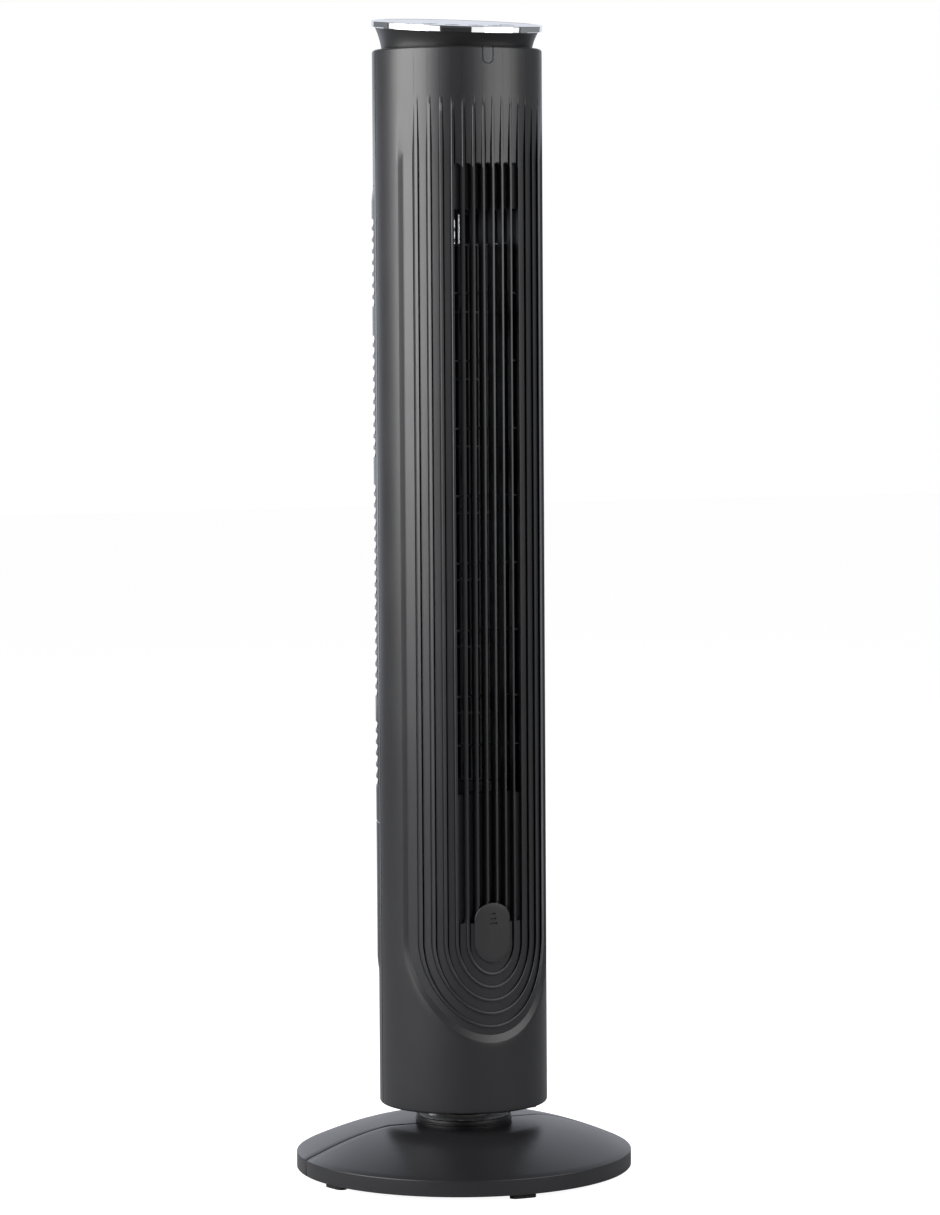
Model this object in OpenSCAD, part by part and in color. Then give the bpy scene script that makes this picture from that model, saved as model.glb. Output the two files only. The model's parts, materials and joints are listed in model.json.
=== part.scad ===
// Tower fan: a grooved round column that swivels on a two-piece domed base.
// Frame: +Z up, front towards -Y, origin on the floor under the column's axis. Millimetres.

/* [Base] */
// Diameter of the round base
base_d = 300; // [280:1:320]
// Height of the base's flat top above the floor
base_top_z = 43.5; // [42:0.5:46]
// Height of the upright rim
rim_h = 14.5; // [12:0.1:17]
// How far the rubber feet hold the rim off the floor
foot_lift = 4; // [3:0.5:4.5]
// Number of rubber feet
foot_angles = [0, 74, 106, 180, 254, 286];

/* [Column] */
// Diameter of the column
column_d = 150; // [148:1:154]
// Height of the column's lower edge above the floor
column_z0 = 62; // [61:0.5:63]
// Height of the column's upper edge above the floor
column_z1 = 998; // [980:1:1010]
// Wall thickness of the two shells
wall = 3; // [2.5:0.1:3.2]
// Distance from the column's axis back to the seam between the shells
seam_y = 6; // [4:0.5:7]

/* [Front relief] */
// Spacing of the vertical lines on the front
line_pitch = 8.83; // [8.6:0.01:8.9]
// Height where the half-ellipses under the slots are centred
relief_z0 = 215; // [205:1:218]
// Height of the half-ellipses as a multiple of their width
ellipse_ratio = 1.32; // [1.2:0.01:1.35]
// Width of an air slot
slot_w = 6.5; // [5.8:0.1:6.6]
// Lower end of the air slots
slot_z0 = 231.3; // [226:0.1:235]
// Upper end of the air slots
slot_z1 = 896.5; // [885:0.5:898]

/* [Air path] */
// Radius of the cross-flow impeller
impeller_r = 45; // [42:0.5:46]
// Number of blades around the impeller
blade_count = 32; // [24:1:36]
// Number of stages between the impeller's discs
stage_count = 8; // [6:1:10]

/* [Swivel gears] */
// Gear module
gear_module = 1.5; // [1.5]
// Teeth on the fixed gear
sun_teeth = 36; // [36]
// Teeth on the motor's pinion
pinion_teeth = 15; // [15]

/* [Cap] */
// Angle by which the control panel leans towards the user
cap_tilt = 6; // [4:0.5:7]
// Height of the ring's lower plane on the axis
cap_z = 1017.8; // [1015:0.1:1020]
// Radius of the chrome ring
ring_r = 75.5; // [75:0.1:76]
// Height of the chrome ring
ring_h = 4.3; // [3.5:0.1:5]

/* [Hidden] */
$fn = 96;
eps = 0.01;
gap = 0.2;                       // seam between neighbouring mouldings
column_r = column_d / 2;
inner_r = column_r - wall;
base_r = base_d / 2;
rim_top_z = foot_lift + rim_h;
dome_flat_r = 70;
dome_power = 1.45;
base_wall = 3;
neck_r = 42.5;
post_r = 13;
gear_seat_r = 11;
seat_z = 81.5;                   // shoulder that carries the fixed gear
gear_h = 10;
gear_distance = gear_module * (sun_teeth + pinion_teeth) / 2;
ridge_half = 0.7;                // half the width of a raised line
land_depth = 1.75;               // how far the lands lie under the outer surface
groove_depth = 4;
groove_w = 1.7;
flute_z = 899;                   // the relief is full below this and fades above it
tip_z = 956;
slot_count = 7;
rib_back_y = -63.5;
slot_bay_w = 34.6;                // half-width of the flat behind the slots
duct_z0 = 345;
duct_z1 = 857;
drum_z0 = 355;
drum_z1 = 827;
grille_z0 = 184;
grille_z1 = 873;
grille_a0 = 8;                   // azimuths of the rear grille's sides, from +X
grille_a1 = 172;
grille_r = column_r + 1.3;
vent_pitch = 10.1;
vent_h = 6.5;
vent_groups = [[850, 8], [747, 11], [615, 19], [404, 6]]; // top edge, number of rows
screw_x = 61;
screw_zs = [125, 930];
floor_screw_r = 67;
diagonals = [45, 135, 225, 315];
button_r = 6.5;
button_circle = 46;
button_names = ["power", "speed", "mode", "timer", "oscillate"];

// ---- helpers ---------------------------------------------------------------

module tube(r1, r2, z1, z2) {
  translate([0, 0, z1]) difference() {
    cylinder(r = r2, h = z2 - z1);
    translate([0, 0, -1]) cylinder(r = r1, h = z2 - z1 + 2);
  }
}

module disc(r, z1, z2) {
  translate([0, 0, z1]) cylinder(r = r, h = z2 - z1);
}

// A piece of a tube between two azimuths, measured from +X
module ring_sector(r1, r2, z1, z2, a1, a2) {
  rotate([0, 0, a1])
    rotate_extrude(angle = a2 - a1)
      translate([r1, z1]) square([r2 - r1, z2 - z1]);
}

// A block between two corners
module block(low, high) {
  translate(low) cube(high - low);
}

// A screw along +Z: head from 0 down, shank from 0 up
module screw(head_r, head_h, shank_r, shank_h) {
  translate([0, 0, -head_h]) difference() {
    cylinder(r = head_r, h = head_h);
    for (a = [0, 90]) rotate([0, 0, a])
      translate([-head_r * 0.6, -0.4, -eps]) cube([head_r * 1.2, 0.8, head_h * 0.45]);
  }
  cylinder(r = shank_r, h = shank_h);
}

// Points of an arc, from angle a1 to a2 in n steps
function arc(cx, cy, rx, ry, a1, a2, n) =
  [for (i = [0:n]) let (a = a1 + (a2 - a1) * i / n) [cx + rx * cos(a), cy + ry * sin(a)]];

// ---- base ------------------------------------------------------------------

function dome_z(r) =
  base_top_z - (base_top_z - rim_top_z) * pow((r - dome_flat_r) / (base_r - dome_flat_r), dome_power);

dome_steps = 12;
function dome_points(shift) =
  [for (i = [0:dome_steps]) let (r = base_r - shift + (dome_flat_r - base_r + shift) * i / dome_steps)
    [r, dome_z(r) - shift]];

module base_skin() {
  rotate_extrude() polygon(concat(
    [[base_r, foot_lift]], dome_points(0), [[neck_r + gap, base_top_z]],
    [[neck_r + gap, base_top_z - base_wall]],
    [for (i = [dome_steps:-1:0]) dome_points(base_wall)[i]],
    [[base_r - base_wall, foot_lift]]));
}

// The ribs under the dome, cut to its underside
module base_ribs() {
  rib_low_z = 12;
  intersection() {
    union() for (a = [15:30:345]) rotate([0, 0, a])
      block([64, -1, rib_low_z], [base_r - base_wall + 1, 1, base_top_z]);
    rotate_extrude() polygon(concat([[base_r - base_wall + eps, rib_low_z]],
      [for (p = dome_points(base_wall - 0.5)) p], [[dome_flat_r - 10, base_top_z - base_wall + 0.5]],
      [[dome_flat_r - 10, rib_low_z]]));
  }
}

module neck_bosses(angles) {
  for (a = angles) rotate([0, 0, a]) translate([52, 0, 0]) difference() {
    disc(4.5, 33.2, base_top_z - base_wall + 0.5);
    disc(1.55, 33, base_top_z - base_wall);
  }
}

// Sockets that hold the feet under the rim
module foot_sockets() {
  for (a = foot_angles) rotate([0, 0, a - 90]) block([132, -13, 6.2], [base_r - 2, 13, 9]);
}

module base_half(side) {
  half = side * 90;
  difference() {
    union() {
      base_skin();
      base_ribs();
      intersection() {
        foot_sockets();
        disc(base_r - 1, 0, 20);
      }
    }
    rotate([0, 0, half - 90]) block([-200, -200, -1], [200, gap * 1.5, 60]);
  }
  neck_bosses([half - 60, half, half + 60]);
}

module base_front() {
  color([0.06, 0.06, 0.065]) base_half(-1);
}

module base_rear() {
  color([0.07, 0.07, 0.075]) base_half(1);
}

module feet() {
  color([0.03, 0.03, 0.03])
    for (a = foot_angles) rotate([0, 0, a - 90]) intersection() {
      union() {
        block([136, -7, 0], [146, 7, 6]);
        for (s = [-1, 1]) translate([141, s * 7, 0]) cylinder(r = 5, h = 6);
      }
      disc(base_r - base_wall - 0.5, -1, 7);
    }
}

module neck() {
  color([0.05, 0.05, 0.055]) difference() {
    rotate_extrude() polygon(concat(
      [[38.5, 30], [60, 30], [60, 33], [neck_r, 33], [neck_r, 45.5]],
      arc(neck_r, 46.3, 1, 0.8, -90, 90, 6),
      [[neck_r, 50.5], [40.3, 50.5], [40.3, 49], [post_r, 49], [post_r, seat_z],
       [gear_seat_r, seat_z], [gear_seat_r, 92], [10, 92], [10, 93.1], [gear_seat_r, 93.1],
       [gear_seat_r, 96], [8.5, 96], [8.5, 45], [38.5, 45]]));
    for (a = [30:60:330]) rotate([0, 0, a]) translate([52, 0, 0]) disc(2.1, 29, 34);
    // the flat that keys the fixed gear
    block([gear_seat_r - 1, -20, seat_z], [30, 20, 100]);
  }
}

module neck_screws() {
  color([0.7, 0.71, 0.73])
    for (a = [30:60:330]) rotate([0, 0, a]) translate([52, 0, 30]) screw(3.6, 2.4, 1.5, 9);
}

module thrust_plate() {
  color([0.78, 0.79, 0.8]) tube(post_r + 0.2, 40, 49, 50.5);
}

module thrust_washer() {
  color([0.9, 0.9, 0.86]) tube(post_r + 0.3, 23, 50.5, 51.95);
}

// ---- swivel gears ----------------------------------------------------------

function involute(rb, t) =
  [rb * (cos(t) + t * PI / 180 * sin(t)), rb * (sin(t) - t * PI / 180 * cos(t))];
function turn(p, a) = [p[0] * cos(a) - p[1] * sin(a), p[0] * sin(a) + p[1] * cos(a)];
function roll_angle(rb, r) = r <= rb ? 0 : sqrt(pow(r / rb, 2) - 1) * 180 / PI;

// Outline of an involute gear; play thins each flank, turned by phase
function gear_points(teeth, play, phase) =
  let (rp = gear_module * teeth / 2,
       rb = rp * cos(20),
       ra = rp + gear_module,
       rf = rp - 1.25 * gear_module,
       t_pitch = roll_angle(rb, rp),
       t_tip = roll_angle(rb, ra),
       inv = t_pitch - atan(t_pitch * PI / 180),
       half = 90 / teeth - play / rp * 180 / PI + inv,
       steps = 4)
  [for (i = [0:teeth - 1]) let (c = phase + 360 / teeth * i)
    each concat(
      [turn([rf, 0], c - half)],
      [for (k = [0:steps]) turn(involute(rb, t_tip * k / steps), c - half)],
      [for (k = [steps:-1:0]) let (p = involute(rb, t_tip * k / steps)) turn([p[0], -p[1]], c + half)],
      [turn([rf, 0], c + half)])];

module sun_gear() {
  color([0.92, 0.91, 0.86]) difference() {
    translate([0, 0, seat_z]) linear_extrude(height = gear_h)
      polygon(gear_points(sun_teeth, 0.08, 0));
    difference() {
      disc(gear_seat_r + 0.05, seat_z - 1, seat_z + gear_h + 1);
      block([gear_seat_r - 0.9, -20, seat_z - 2], [30, 20, seat_z + gear_h + 2]);
    }
  }
}

module retaining_ring() {
  color([0.6, 0.61, 0.62]) difference() {
    tube(10.05, 15, 92.1, 93);
    block([-3, -20, 90], [3, 0, 95]);
  }
}

// The pinion hangs behind the fixed gear, with a gap between its teeth facing that gear's tooth
module drive_pinion() {
  first_tooth = -90 + 180 / pinion_teeth;
  color([0.93, 0.92, 0.87]) translate([0, gear_distance, 0]) difference() {
    union() {
      translate([0, 0, seat_z + 0.3]) linear_extrude(height = gear_h - 0.6)
        polygon(gear_points(pinion_teeth, 0.08, first_tooth));
      disc(3.5, seat_z + gear_h - 0.4, 97);
    }
    disc(1.2, seat_z - 1, seat_z + 4);
  }
}

// ---- column floor and its motor --------------------------------------------

module column_floor() {
  color([0.07, 0.07, 0.075]) difference() {
    union() {
      disc(inner_r - 0.1, column_z0, column_z0 + 4);
      disc(22, 52, 80);
      for (s = [-1, 1]) translate([s * 30, gear_distance, 0]) disc(4.5, column_z0 + 3.5, 94);
    }
    disc(15.5, 51, 81);
    for (s = [-1, 1]) translate([s * 30, gear_distance, 0]) disc(1.55, 80, 95);
    for (a = diagonals) rotate([0, 0, a]) translate([floor_screw_r, 0, 0]) disc(2, 60, 68);
    // drain and lead hole
    translate([-40, 0, 0]) disc(5, 60, 68);
  }
}

module pivot_bush() {
  color([0.9, 0.89, 0.84]) tube(post_r + 0.05, 15.5, 52, 80);
}

module floor_screws() {
  color([0.7, 0.71, 0.73])
    for (a = diagonals) rotate([0, 0, a]) translate([floor_screw_r, 0, column_z0])
      screw(3.4, 2, 1.5, 14);
}

module osc_motor() {
  color([0.75, 0.76, 0.78]) translate([0, gear_distance, 0]) difference() {
    union() {
      disc(24.5, 96.2, 114);
      disc(8, 95.2, 96.4);
      for (s = [-1, 1]) {
        translate([s * 30, 0, 0]) disc(5, 94, 95.4);
        block([s > 0 ? 20 : -30, -5, 94], [s > 0 ? 30 : -20, 5, 95.4]);
        block([s > 0 ? 20 : -24, -5, 94], [s > 0 ? 24 : -20, 5, 97]);
      }
    }
    disc(3.56, 90, 99);
    for (s = [-1, 1]) translate([s * 30, 0, 0]) disc(1.9, 90, 99);
  }
}

module osc_screws() {
  color([0.7, 0.71, 0.73])
    for (s = [-1, 1]) translate([s * 30, gear_distance, 95.4]) rotate([180, 0, 0])
      screw(3.2, 2, 1.5, 12);
}

// ---- shells ----------------------------------------------------------------

// A quarter round on the outer corner, and a lip at the top that the cap stands through
module shell_skin() {
  corner = 2.4;
  rotate_extrude() polygon(concat(
    [[inner_r, column_z0]],
    arc(column_r - corner, column_z0 + corner, corner, corner, -90, 0, 5),
    arc(column_r - corner, column_z1 - corner, corner, corner, 0, 90, 5),
    [[67, column_z1], [67, column_z1 - 3], [inner_r, column_z1 - 3]]));
}

module floor_bosses(angles) {
  for (a = angles) rotate([0, 0, a]) translate([floor_screw_r, 0, 0]) difference() {
    disc(5.2, column_z0 + 4.1, column_z0 + 18);
    disc(1.55, column_z0 + 3, column_z0 + 16);
  }
}

module cap_screw_holes(angles) {
  for (a = angles) rotate([0, 0, a]) translate([69.2, 0, 0]) disc(1.15, column_z1 - 4, column_z1 - 0.8);
}

// A U-shaped outline of half-width a around the slots, with its top at z
function u_points(a, z) =
  concat([[a, z]], arc(0, relief_z0, a, a * ellipse_ratio, 0, -180, 16), [[-a, z]]);

// The band between two U outlines
function band_points(a1, a2) = let (inner = u_points(a1, tip_z + 2))
  concat(u_points(a2, tip_z + 2), [for (i = [len(inner) - 1:-1:0]) inner[i]]);

// What is cut from the front for an outline in front view, down to a depth that fades out at the top
module relief(points, depth) {
  difference() {
    rotate([90, 0, 0]) linear_extrude(height = column_r + 5) polygon(points);
    rotate_extrude() polygon([[0, 0], [column_r - depth, 0], [column_r - depth, flute_z],
                              [column_r + 0.1, tip_z], [column_r + 0.1, tip_z + 5], [0, tip_z + 5]]);
  }
}

function slot_points(x, w, z1, z2) =
  concat(arc(x, z1 + w / 2, w / 2, w / 2, -180, 0, 8), arc(x, z2 - w / 2, w / 2, w / 2, 0, 180, 8));

// The badge's outline: a flat round end on top, straight sides and a longer end that follows the U
badge_rise = 20;
function badge_points(w) = concat(
  arc(0, relief_z0, w, w * 1.14, -180, 0, 16),
  arc(0, relief_z0 + badge_rise, w, w * 0.87, 0, 180, 16));

ir_w = 8.6;
function ir_points(w, z1) = concat([[w / 2, column_z1 + 1]],
  arc(0, z1 + w / 2, w / 2, w / 2, 0, -180, 10), [[-w / 2, column_z1 + 1]]);

function line_a(k) = line_pitch * (k + 0.5);

module front_relief() {
  // lands and the deep groove inside each raised line, all the way up
  for (k = [4:6]) {
    relief(band_points(line_a(k - 1) + ridge_half, line_a(k) - ridge_half), land_depth);
    relief(band_points(line_a(k) - ridge_half - groove_w, line_a(k) - ridge_half), groove_depth);
  }
  relief(band_points(line_a(6) + ridge_half, line_a(6) + 8.6), land_depth);
  // the same below the slots, where the lines of the slots' ribs turn round
  intersection() {
    union() for (k = [2:3]) {
      relief(band_points(k == 2 ? 0.5 : line_a(k - 1) + ridge_half, line_a(k) - ridge_half), land_depth);
      relief(band_points(line_a(k) - ridge_half - groove_w, line_a(k) - ridge_half), groove_depth);
    }
    block([-80, -80, 100], [80, 0, slot_z0 + slot_w / 2]);
  }
  // flutes that run out above the slots
  for (i = [-3:3]) relief([[i * line_pitch - 3.4, flute_z - 6], [i * line_pitch + 3.4, flute_z - 6],
    [i * line_pitch + 3.4, tip_z + 2], [i * line_pitch - 3.4, tip_z + 2]], land_depth);
  relief(badge_points(18.4), land_depth + 0.05);
}

module front_shell() {
  color([0.09, 0.09, 0.1]) difference() {
    union() {
      shell_skin();
      // the wall is thicker behind the deep grooves, and flat behind the slots
      difference() {
        intersection() {
          tube(69, inner_r + 0.5, 110, 965);
          block([-66, -80, 100], [66, 0, 970]);
        }
        block([-slot_bay_w, rib_back_y, slot_z0 - 6], [slot_bay_w, 0, slot_z1 + 6]);
      }
      intersection() {
        disc(column_r, slot_z0 - 6, slot_z1 + 6);
        block([-slot_bay_w, -80, 100], [slot_bay_w, rib_back_y, 970]);
      }
      floor_bosses([225, 315]);
      for (s = [-1, 1]) for (z = screw_zs) translate([s * screw_x, seam_y, z])
        rotate([90, 0, 0]) cylinder(r = 5, h = 40);
    }
    block([-100, seam_y - gap / 2, 0], [100, 100, 1100]);
    front_relief();
    for (i = [-3:3]) rotate([90, 0, 0])
      linear_extrude(height = 90) polygon(slot_points(i * line_pitch, slot_w, slot_z0, slot_z1));
    difference() {
      rotate([90, 0, 0]) linear_extrude(height = 90) polygon(ir_points(ir_w + 1.4, column_z1 - 15.7));
      disc(inner_r, 900, 1100);
    }
    for (s = [-1, 1]) for (z = screw_zs) translate([s * screw_x, seam_y + 1, z])
      rotate([90, 0, 0]) cylinder(r = 1.8, h = 34);
    cap_screw_holes([225, 315]);
  }
}

module rear_shell() {
  seat_y = 26;
  color([0.08, 0.08, 0.09]) difference() {
    union() {
      shell_skin();
      floor_bosses([45, 135]);
      intersection() {
        for (s = [-1, 1]) for (z = screw_zs) translate([s * screw_x, 60, z])
          rotate([90, 0, 0]) cylinder(r = 6, h = 60);
        disc(column_r - 1, 0, 1000);
      }
    }
    block([-100, -100, 0], [100, seam_y + gap / 2, 1100]);
    ring_sector(60, 90, grille_z0, grille_z1, grille_a0, grille_a1);
    for (s = [-1, 1]) for (z = screw_zs) translate([s * screw_x, 90, z]) rotate([90, 0, 0]) {
      cylinder(r = 1.9, h = 90);
      cylinder(r = 4.2, h = 90 - seat_y);
    }
    translate([0, 60, 130]) rotate([-90, 0, 0]) cylinder(r = 8.1, h = 30);
    cap_screw_holes([45, 135]);
  }
}

// Rows of vents between upright ribs, standing a little proud, with a hooked edge at the top and bottom
module rear_grille() {
  plate_r = column_r - 1.2;
  bay_count = 7;
  bay_a = 21.3;
  rib_a = 1.6;
  ramp_h = 15;                   // the ends slope down to the column's surface
  first_a = 90 - (bay_count * bay_a + (bay_count - 1) * rib_a) / 2;
  color([0.1, 0.1, 0.11]) difference() {
    union() {
      rotate([0, 0, grille_a0 + gap]) rotate_extrude(angle = grille_a1 - grille_a0 - 2 * gap)
        polygon([[70.5, grille_z0 + gap], [column_r, grille_z0 + gap], [grille_r, grille_z0 + ramp_h],
                 [grille_r, grille_z1 - ramp_h], [column_r, grille_z1 - gap], [70.5, grille_z1 - gap]]);
      for (z = [grille_z0 - 6, grille_z1 - 3.8])
        ring_sector(70.8, inner_r - 0.15, z, z + 9.8, 20, 160);
    }
    for (i = [0:bay_count - 1]) let (a = first_a + i * (bay_a + rib_a)) {
      ring_sector(60, plate_r, grille_z0 + 4, grille_z1 - 4, a, a + bay_a);
      for (g = vent_groups) for (row = [0:g[1] - 1])
        ring_sector(plate_r - 1, 90, g[0] - row * vent_pitch - vent_h, g[0] - row * vent_pitch, a, a + bay_a);
    }
  }
}

module shell_screws() {
  color([0.7, 0.71, 0.73])
    for (s = [-1, 1]) for (z = screw_zs) translate([s * screw_x, 26, z]) rotate([90, 0, 0])
      screw(3.8, 2.4, 1.75, 28);
}

// Stadium badge with three plain engraved bars
module badge() {
  color([0.12, 0.12, 0.13]) difference() {
    intersection() {
      rotate([90, 0, 0]) linear_extrude(height = column_r + 5) polygon(badge_points(16.4));
      tube(column_r - land_depth, column_r + 0.4, 150, 260);
    }
    for (i = [0:2]) difference() {
      block([-3.6 + i * 0.8, -80, 230.5 + i * 4.2], [3.6 - i * 0.8, 0, 232 + i * 4.2]);
      disc(column_r - 0.2, 200, 260);
    }
  }
}

module ir_window() {
  color([0.1, 0.03, 0.04]) difference() {
    intersection() {
      rotate([90, 0, 0]) linear_extrude(height = column_r + 5) polygon(ir_points(ir_w, column_z1 - 15));
      tube(inner_r + 0.05, column_r, 900, column_z1);
    }
  }
}

module ir_board() {
  color([0.1, 0.35, 0.15]) {
    block([-7, -68, 970], [7, -66.4, 990]);
    block([-3.5, -70.8, 979], [3.5, -67.9, 987]);
  }
}

// Crossbars behind the slots
module grille_brace() {
  color([0.13, 0.13, 0.14]) {
    for (z = [784, 725, 666, 607, 548, 489, 431, 388]) block([-34, -63.3, z - 0.7], [34, -56, z + 0.7]);
    for (s = [-1, 1]) block([s > 0 ? 32 : -34, -63.3, 348], [s > 0 ? 34 : -32, -56, 854]);
  }
}

module blank_top() {
  color([0.11, 0.11, 0.12]) block([-34, -63.3, duct_z1 + 0.2], [34, -61.4, slot_z1 + 4]);
}

module blank_bottom() {
  color([0.11, 0.11, 0.12]) block([-34, -63.3, slot_z0 - 4], [34, -61.4, duct_z0 - 0.2]);
}

// Collar with a flange inside and outside the shell's wall
module cord_gland() {
  color([0.04, 0.04, 0.04]) translate([0, 0, 130]) rotate([-90, 0, 0]) difference() {
    union() {
      disc(8, 69, 79);
      disc(10.5, 68, 70.8);
      disc(10, 75.4, 77.5);
    }
    disc(3.9, 60, 90);
  }
}

// ---- air duct --------------------------------------------------------------

module duct_plate(z, centre_r) {
  difference() {
    disc(68.4, z, z + 3);
    disc(centre_r, z - 1, z + 4);
    block([-80, -80, z - 1], [80, -61.2, z + 4]);
    block([-70, 6.5, z - 1], [-64, 21.5, z + 4]);
  }
}

// The lips on the two plates keep air from getting past under and over the impeller
module duct_bottom() {
  color([0.2, 0.2, 0.21]) {
    duct_plate(duct_z0 - 3, 10);
    tube(45.8, 47.2, duct_z0 - 0.1, drum_z0 - 0.9);
  }
}

module duct_top() {
  color([0.2, 0.2, 0.21]) {
    duct_plate(duct_z1, 12);
    ring_sector(45.8, 47.2, drum_z1 + 0.9, duct_z1 + 0.1, -20, 62);
  }
}

// The wall that guides the air round the impeller, a spiral in plan
function spiral(a, shift) = let (r = 49 + 13 * (a - 100) / 165 + shift) [r * cos(a), r * sin(a)];

module scroll_wall() {
  color([0.16, 0.16, 0.17]) translate([0, 0, duct_z0 + 0.1])
    linear_extrude(height = duct_z1 - duct_z0 - 0.2) polygon(concat(
      [for (a = [120:6:222]) spiral(a, 0)], [[-38, -55.2], [-40, -55.2]],
      [for (a = [222:-6:120]) spiral(a, 1.8)]));
}

module vortex_tongue() {
  color([0.16, 0.16, 0.17]) translate([0, 0, duct_z0 + 0.1])
    linear_extrude(height = duct_z1 - duct_z0 - 0.2) polygon(concat(
      [[40, -55.2], [38, -55.2]], arc(38.5, -30, 1.5, 1.5, 180, 90, 4), arc(45, -30, 1.5, 1.5, 90, 0, 4),
      [[58, -34], [57, -36]], arc(43.5, -35, 1.5, 1.5, 90, 180, 4)));
}

// ---- impeller --------------------------------------------------------------

module impeller_drum() {
  disc_h = 1.6;
  blade_chord_r = 10;
  blade_t = 0.9;
  pitch = (drum_z1 - drum_z0 - disc_h) / stage_count;
  color([0.22, 0.22, 0.23]) difference() {
    union() {
      for (i = [0:stage_count]) translate([0, 0, drum_z0 + i * pitch])
        cylinder(r = impeller_r, h = disc_h);
      intersection() {
        union() for (i = [0:blade_count - 1]) rotate([0, 0, 360 / blade_count * i])
          translate([impeller_r - 6.5, 0, 0]) difference() {
            tube(blade_chord_r - blade_t, blade_chord_r, drum_z0, drum_z1);
            block([-20, -20, 0], [-2, 20, 1000]);
            block([-20, 0, 0], [20, 20, 1000]);
          }
        tube(impeller_r - 9.5, impeller_r, drum_z0, drum_z1);
      }
    }
    disc(14, drum_z0 - 1, drum_z0 + 3);
    for (i = [1:stage_count - 1]) translate([0, 0, drum_z0 + i * pitch - 1])
      cylinder(r = impeller_r - 9.5, h = disc_h + 2);
    disc(3, drum_z1 - 3, drum_z1 + 1);
  }
}

module impeller_hub() {
  color([0.05, 0.05, 0.05]) difference() {
    union() {
      disc(14, drum_z0, drum_z0 + 1.6);
      disc(17, drum_z0 - 2, drum_z0);
      disc(9, drum_z0 - 6, drum_z0 + 12);
    }
    disc(4, drum_z0 - 7, drum_z0 + 13);
  }
}

module top_stub() {
  color([0.75, 0.76, 0.78]) disc(3, drum_z1 - 1.6, 868);
}

module motor_shaft() {
  color([0.78, 0.79, 0.8]) disc(4, 256, drum_z0 + 11);
}

module motor_rotor() {
  color([0.6, 0.61, 0.63]) tube(4, 22, 279, 305);
}

module upper_bearing() {
  color([0.72, 0.5, 0.25]) tube(3.05, 7, 854, 864);
}

module bearing_rubber() {
  color([0.05, 0.05, 0.05]) {
    tube(7, 12, 855, 863);
    tube(11, 16, 853.5, 856.9);
  }
}

// ---- motor -----------------------------------------------------------------

bumper_spots = [for (a = diagonals) [50 * cos(a), 50 * sin(a)]];

module motor_bracket() {
  color([0.72, 0.73, 0.75]) difference() {
    union() {
      disc(38, 327, 329);
      for (a = [45, 135]) rotate([0, 0, a]) block([-58, -8, 327], [58, 8, 329]);
    }
    disc(12, 326, 330);
    for (p = bumper_spots) translate([p[0], p[1], 0]) disc(3, 326, 330);
  }
}

module motor_bumpers() {
  color([0.05, 0.05, 0.05]) for (p = bumper_spots) translate([p[0], p[1], 0]) {
    disc(7, 329, 341.9);
    disc(2.9, 326.5, 329.5);
  }
}

module motor_top_bell() {
  color([0.7, 0.71, 0.73]) difference() {
    union() {
      disc(42, 292.1, 318);
      disc(10, 317, 326.5);
      for (a = [0:90:270]) rotate([0, 0, a]) translate([30, 0, 0]) disc(4, 317, 326.9);
    }
    disc(40.1, 290, 316);
    disc(7, 315, 330);
  }
}

module motor_bottom_bell() {
  color([0.7, 0.71, 0.73]) difference() {
    union() {
      disc(42, 266, 291.9);
      disc(10, 257, 267);
    }
    disc(40.1, 268, 293);
    disc(7, 250, 269);
    for (a = [0:60:300]) rotate([0, 0, a]) translate([26, 0, 0]) disc(4, 265, 269);
  }
}

module motor_stator() {
  color([0.45, 0.46, 0.48]) difference() {
    disc(40, 281, 303);
    disc(22.5, 280, 304);
    for (a = [0:45:315]) rotate([0, 0, a]) translate([29, 0, 0]) disc(3.4, 280, 304);
  }
}

module motor_coils() {
  color([0.75, 0.38, 0.15]) {
    tube(24, 35, 303.05, 313);
    tube(24, 35, 271, 280.95);
  }
}

module motor_bushes() {
  color([0.72, 0.5, 0.25]) {
    tube(4.04, 7, 257.5, 267.5);
    tube(4.04, 7, 316.5, 326);
  }
}

module motor_lead() {
  color([0.5, 0.1, 0.08]) {
    translate([26, 0, 0]) disc(2, 236, 271);
    translate([26, 0, 236]) sphere(r = 2);
    translate([26, 0, 236]) rotate([-90, 0, 0]) cylinder(r = 2, h = 36);
  }
}

// ---- electronics -----------------------------------------------------------

module main_board() {
  color([0.1, 0.35, 0.15]) block([-34, 36, 150], [34, 37.6, 244]);
}

module board_parts() {
  color([0.8, 0.75, 0.3]) {
    block([-28, 12, 156], [0, 36, 184]);
    block([6, 20, 158], [20, 36, 178]);
    block([-26, 24, 206], [-12, 36, 226]);
    for (i = [0:2]) block([4 + i * 9, 24, 204], [11 + i * 9, 36, 212]);
    for (i = [0:3]) translate([-20 + i * 10, 36, 193]) rotate([90, 0, 0]) cylinder(r = 3, h = 11);
  }
}

module capacitor() {
  color([0.85, 0.85, 0.82]) {
    block([-58, 16, 150], [-38, 34, 188]);
    translate([-48, 25, 187]) cylinder(r = 3, h = 5);
  }
}

module panel_ribbon() {
  color([0.75, 0.76, 0.78]) {
    block([-30, 19.5, 240], [-24, 36, 241.2]);
    block([-66.2, 8, 240], [-24, 20, 241.2]);
    block([-66.2, 8, 240], [-65, 20, 901.2]);
    block([-66.2, 8, 900], [-52, 20, 901.2]);
    block([-53.2, 8, 900], [-52, 20, 1010]);
    block([-53.2, 8, 1008.8], [-46, 20, 1010]);
  }
}

// ---- cap -------------------------------------------------------------------

module on_cap() {
  translate([0, 0, cap_z]) rotate([cap_tilt, 0, 0]) children();
}

module cap_loft(r_low, r_high, z_low, up) {
  hull() {
    disc(r_low, z_low, z_low + 0.5, $fn = 72);
    on_cap() translate([0, 0, up]) cylinder(r = r_high, h = 0.5, $fn = 72);
  }
}

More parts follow.
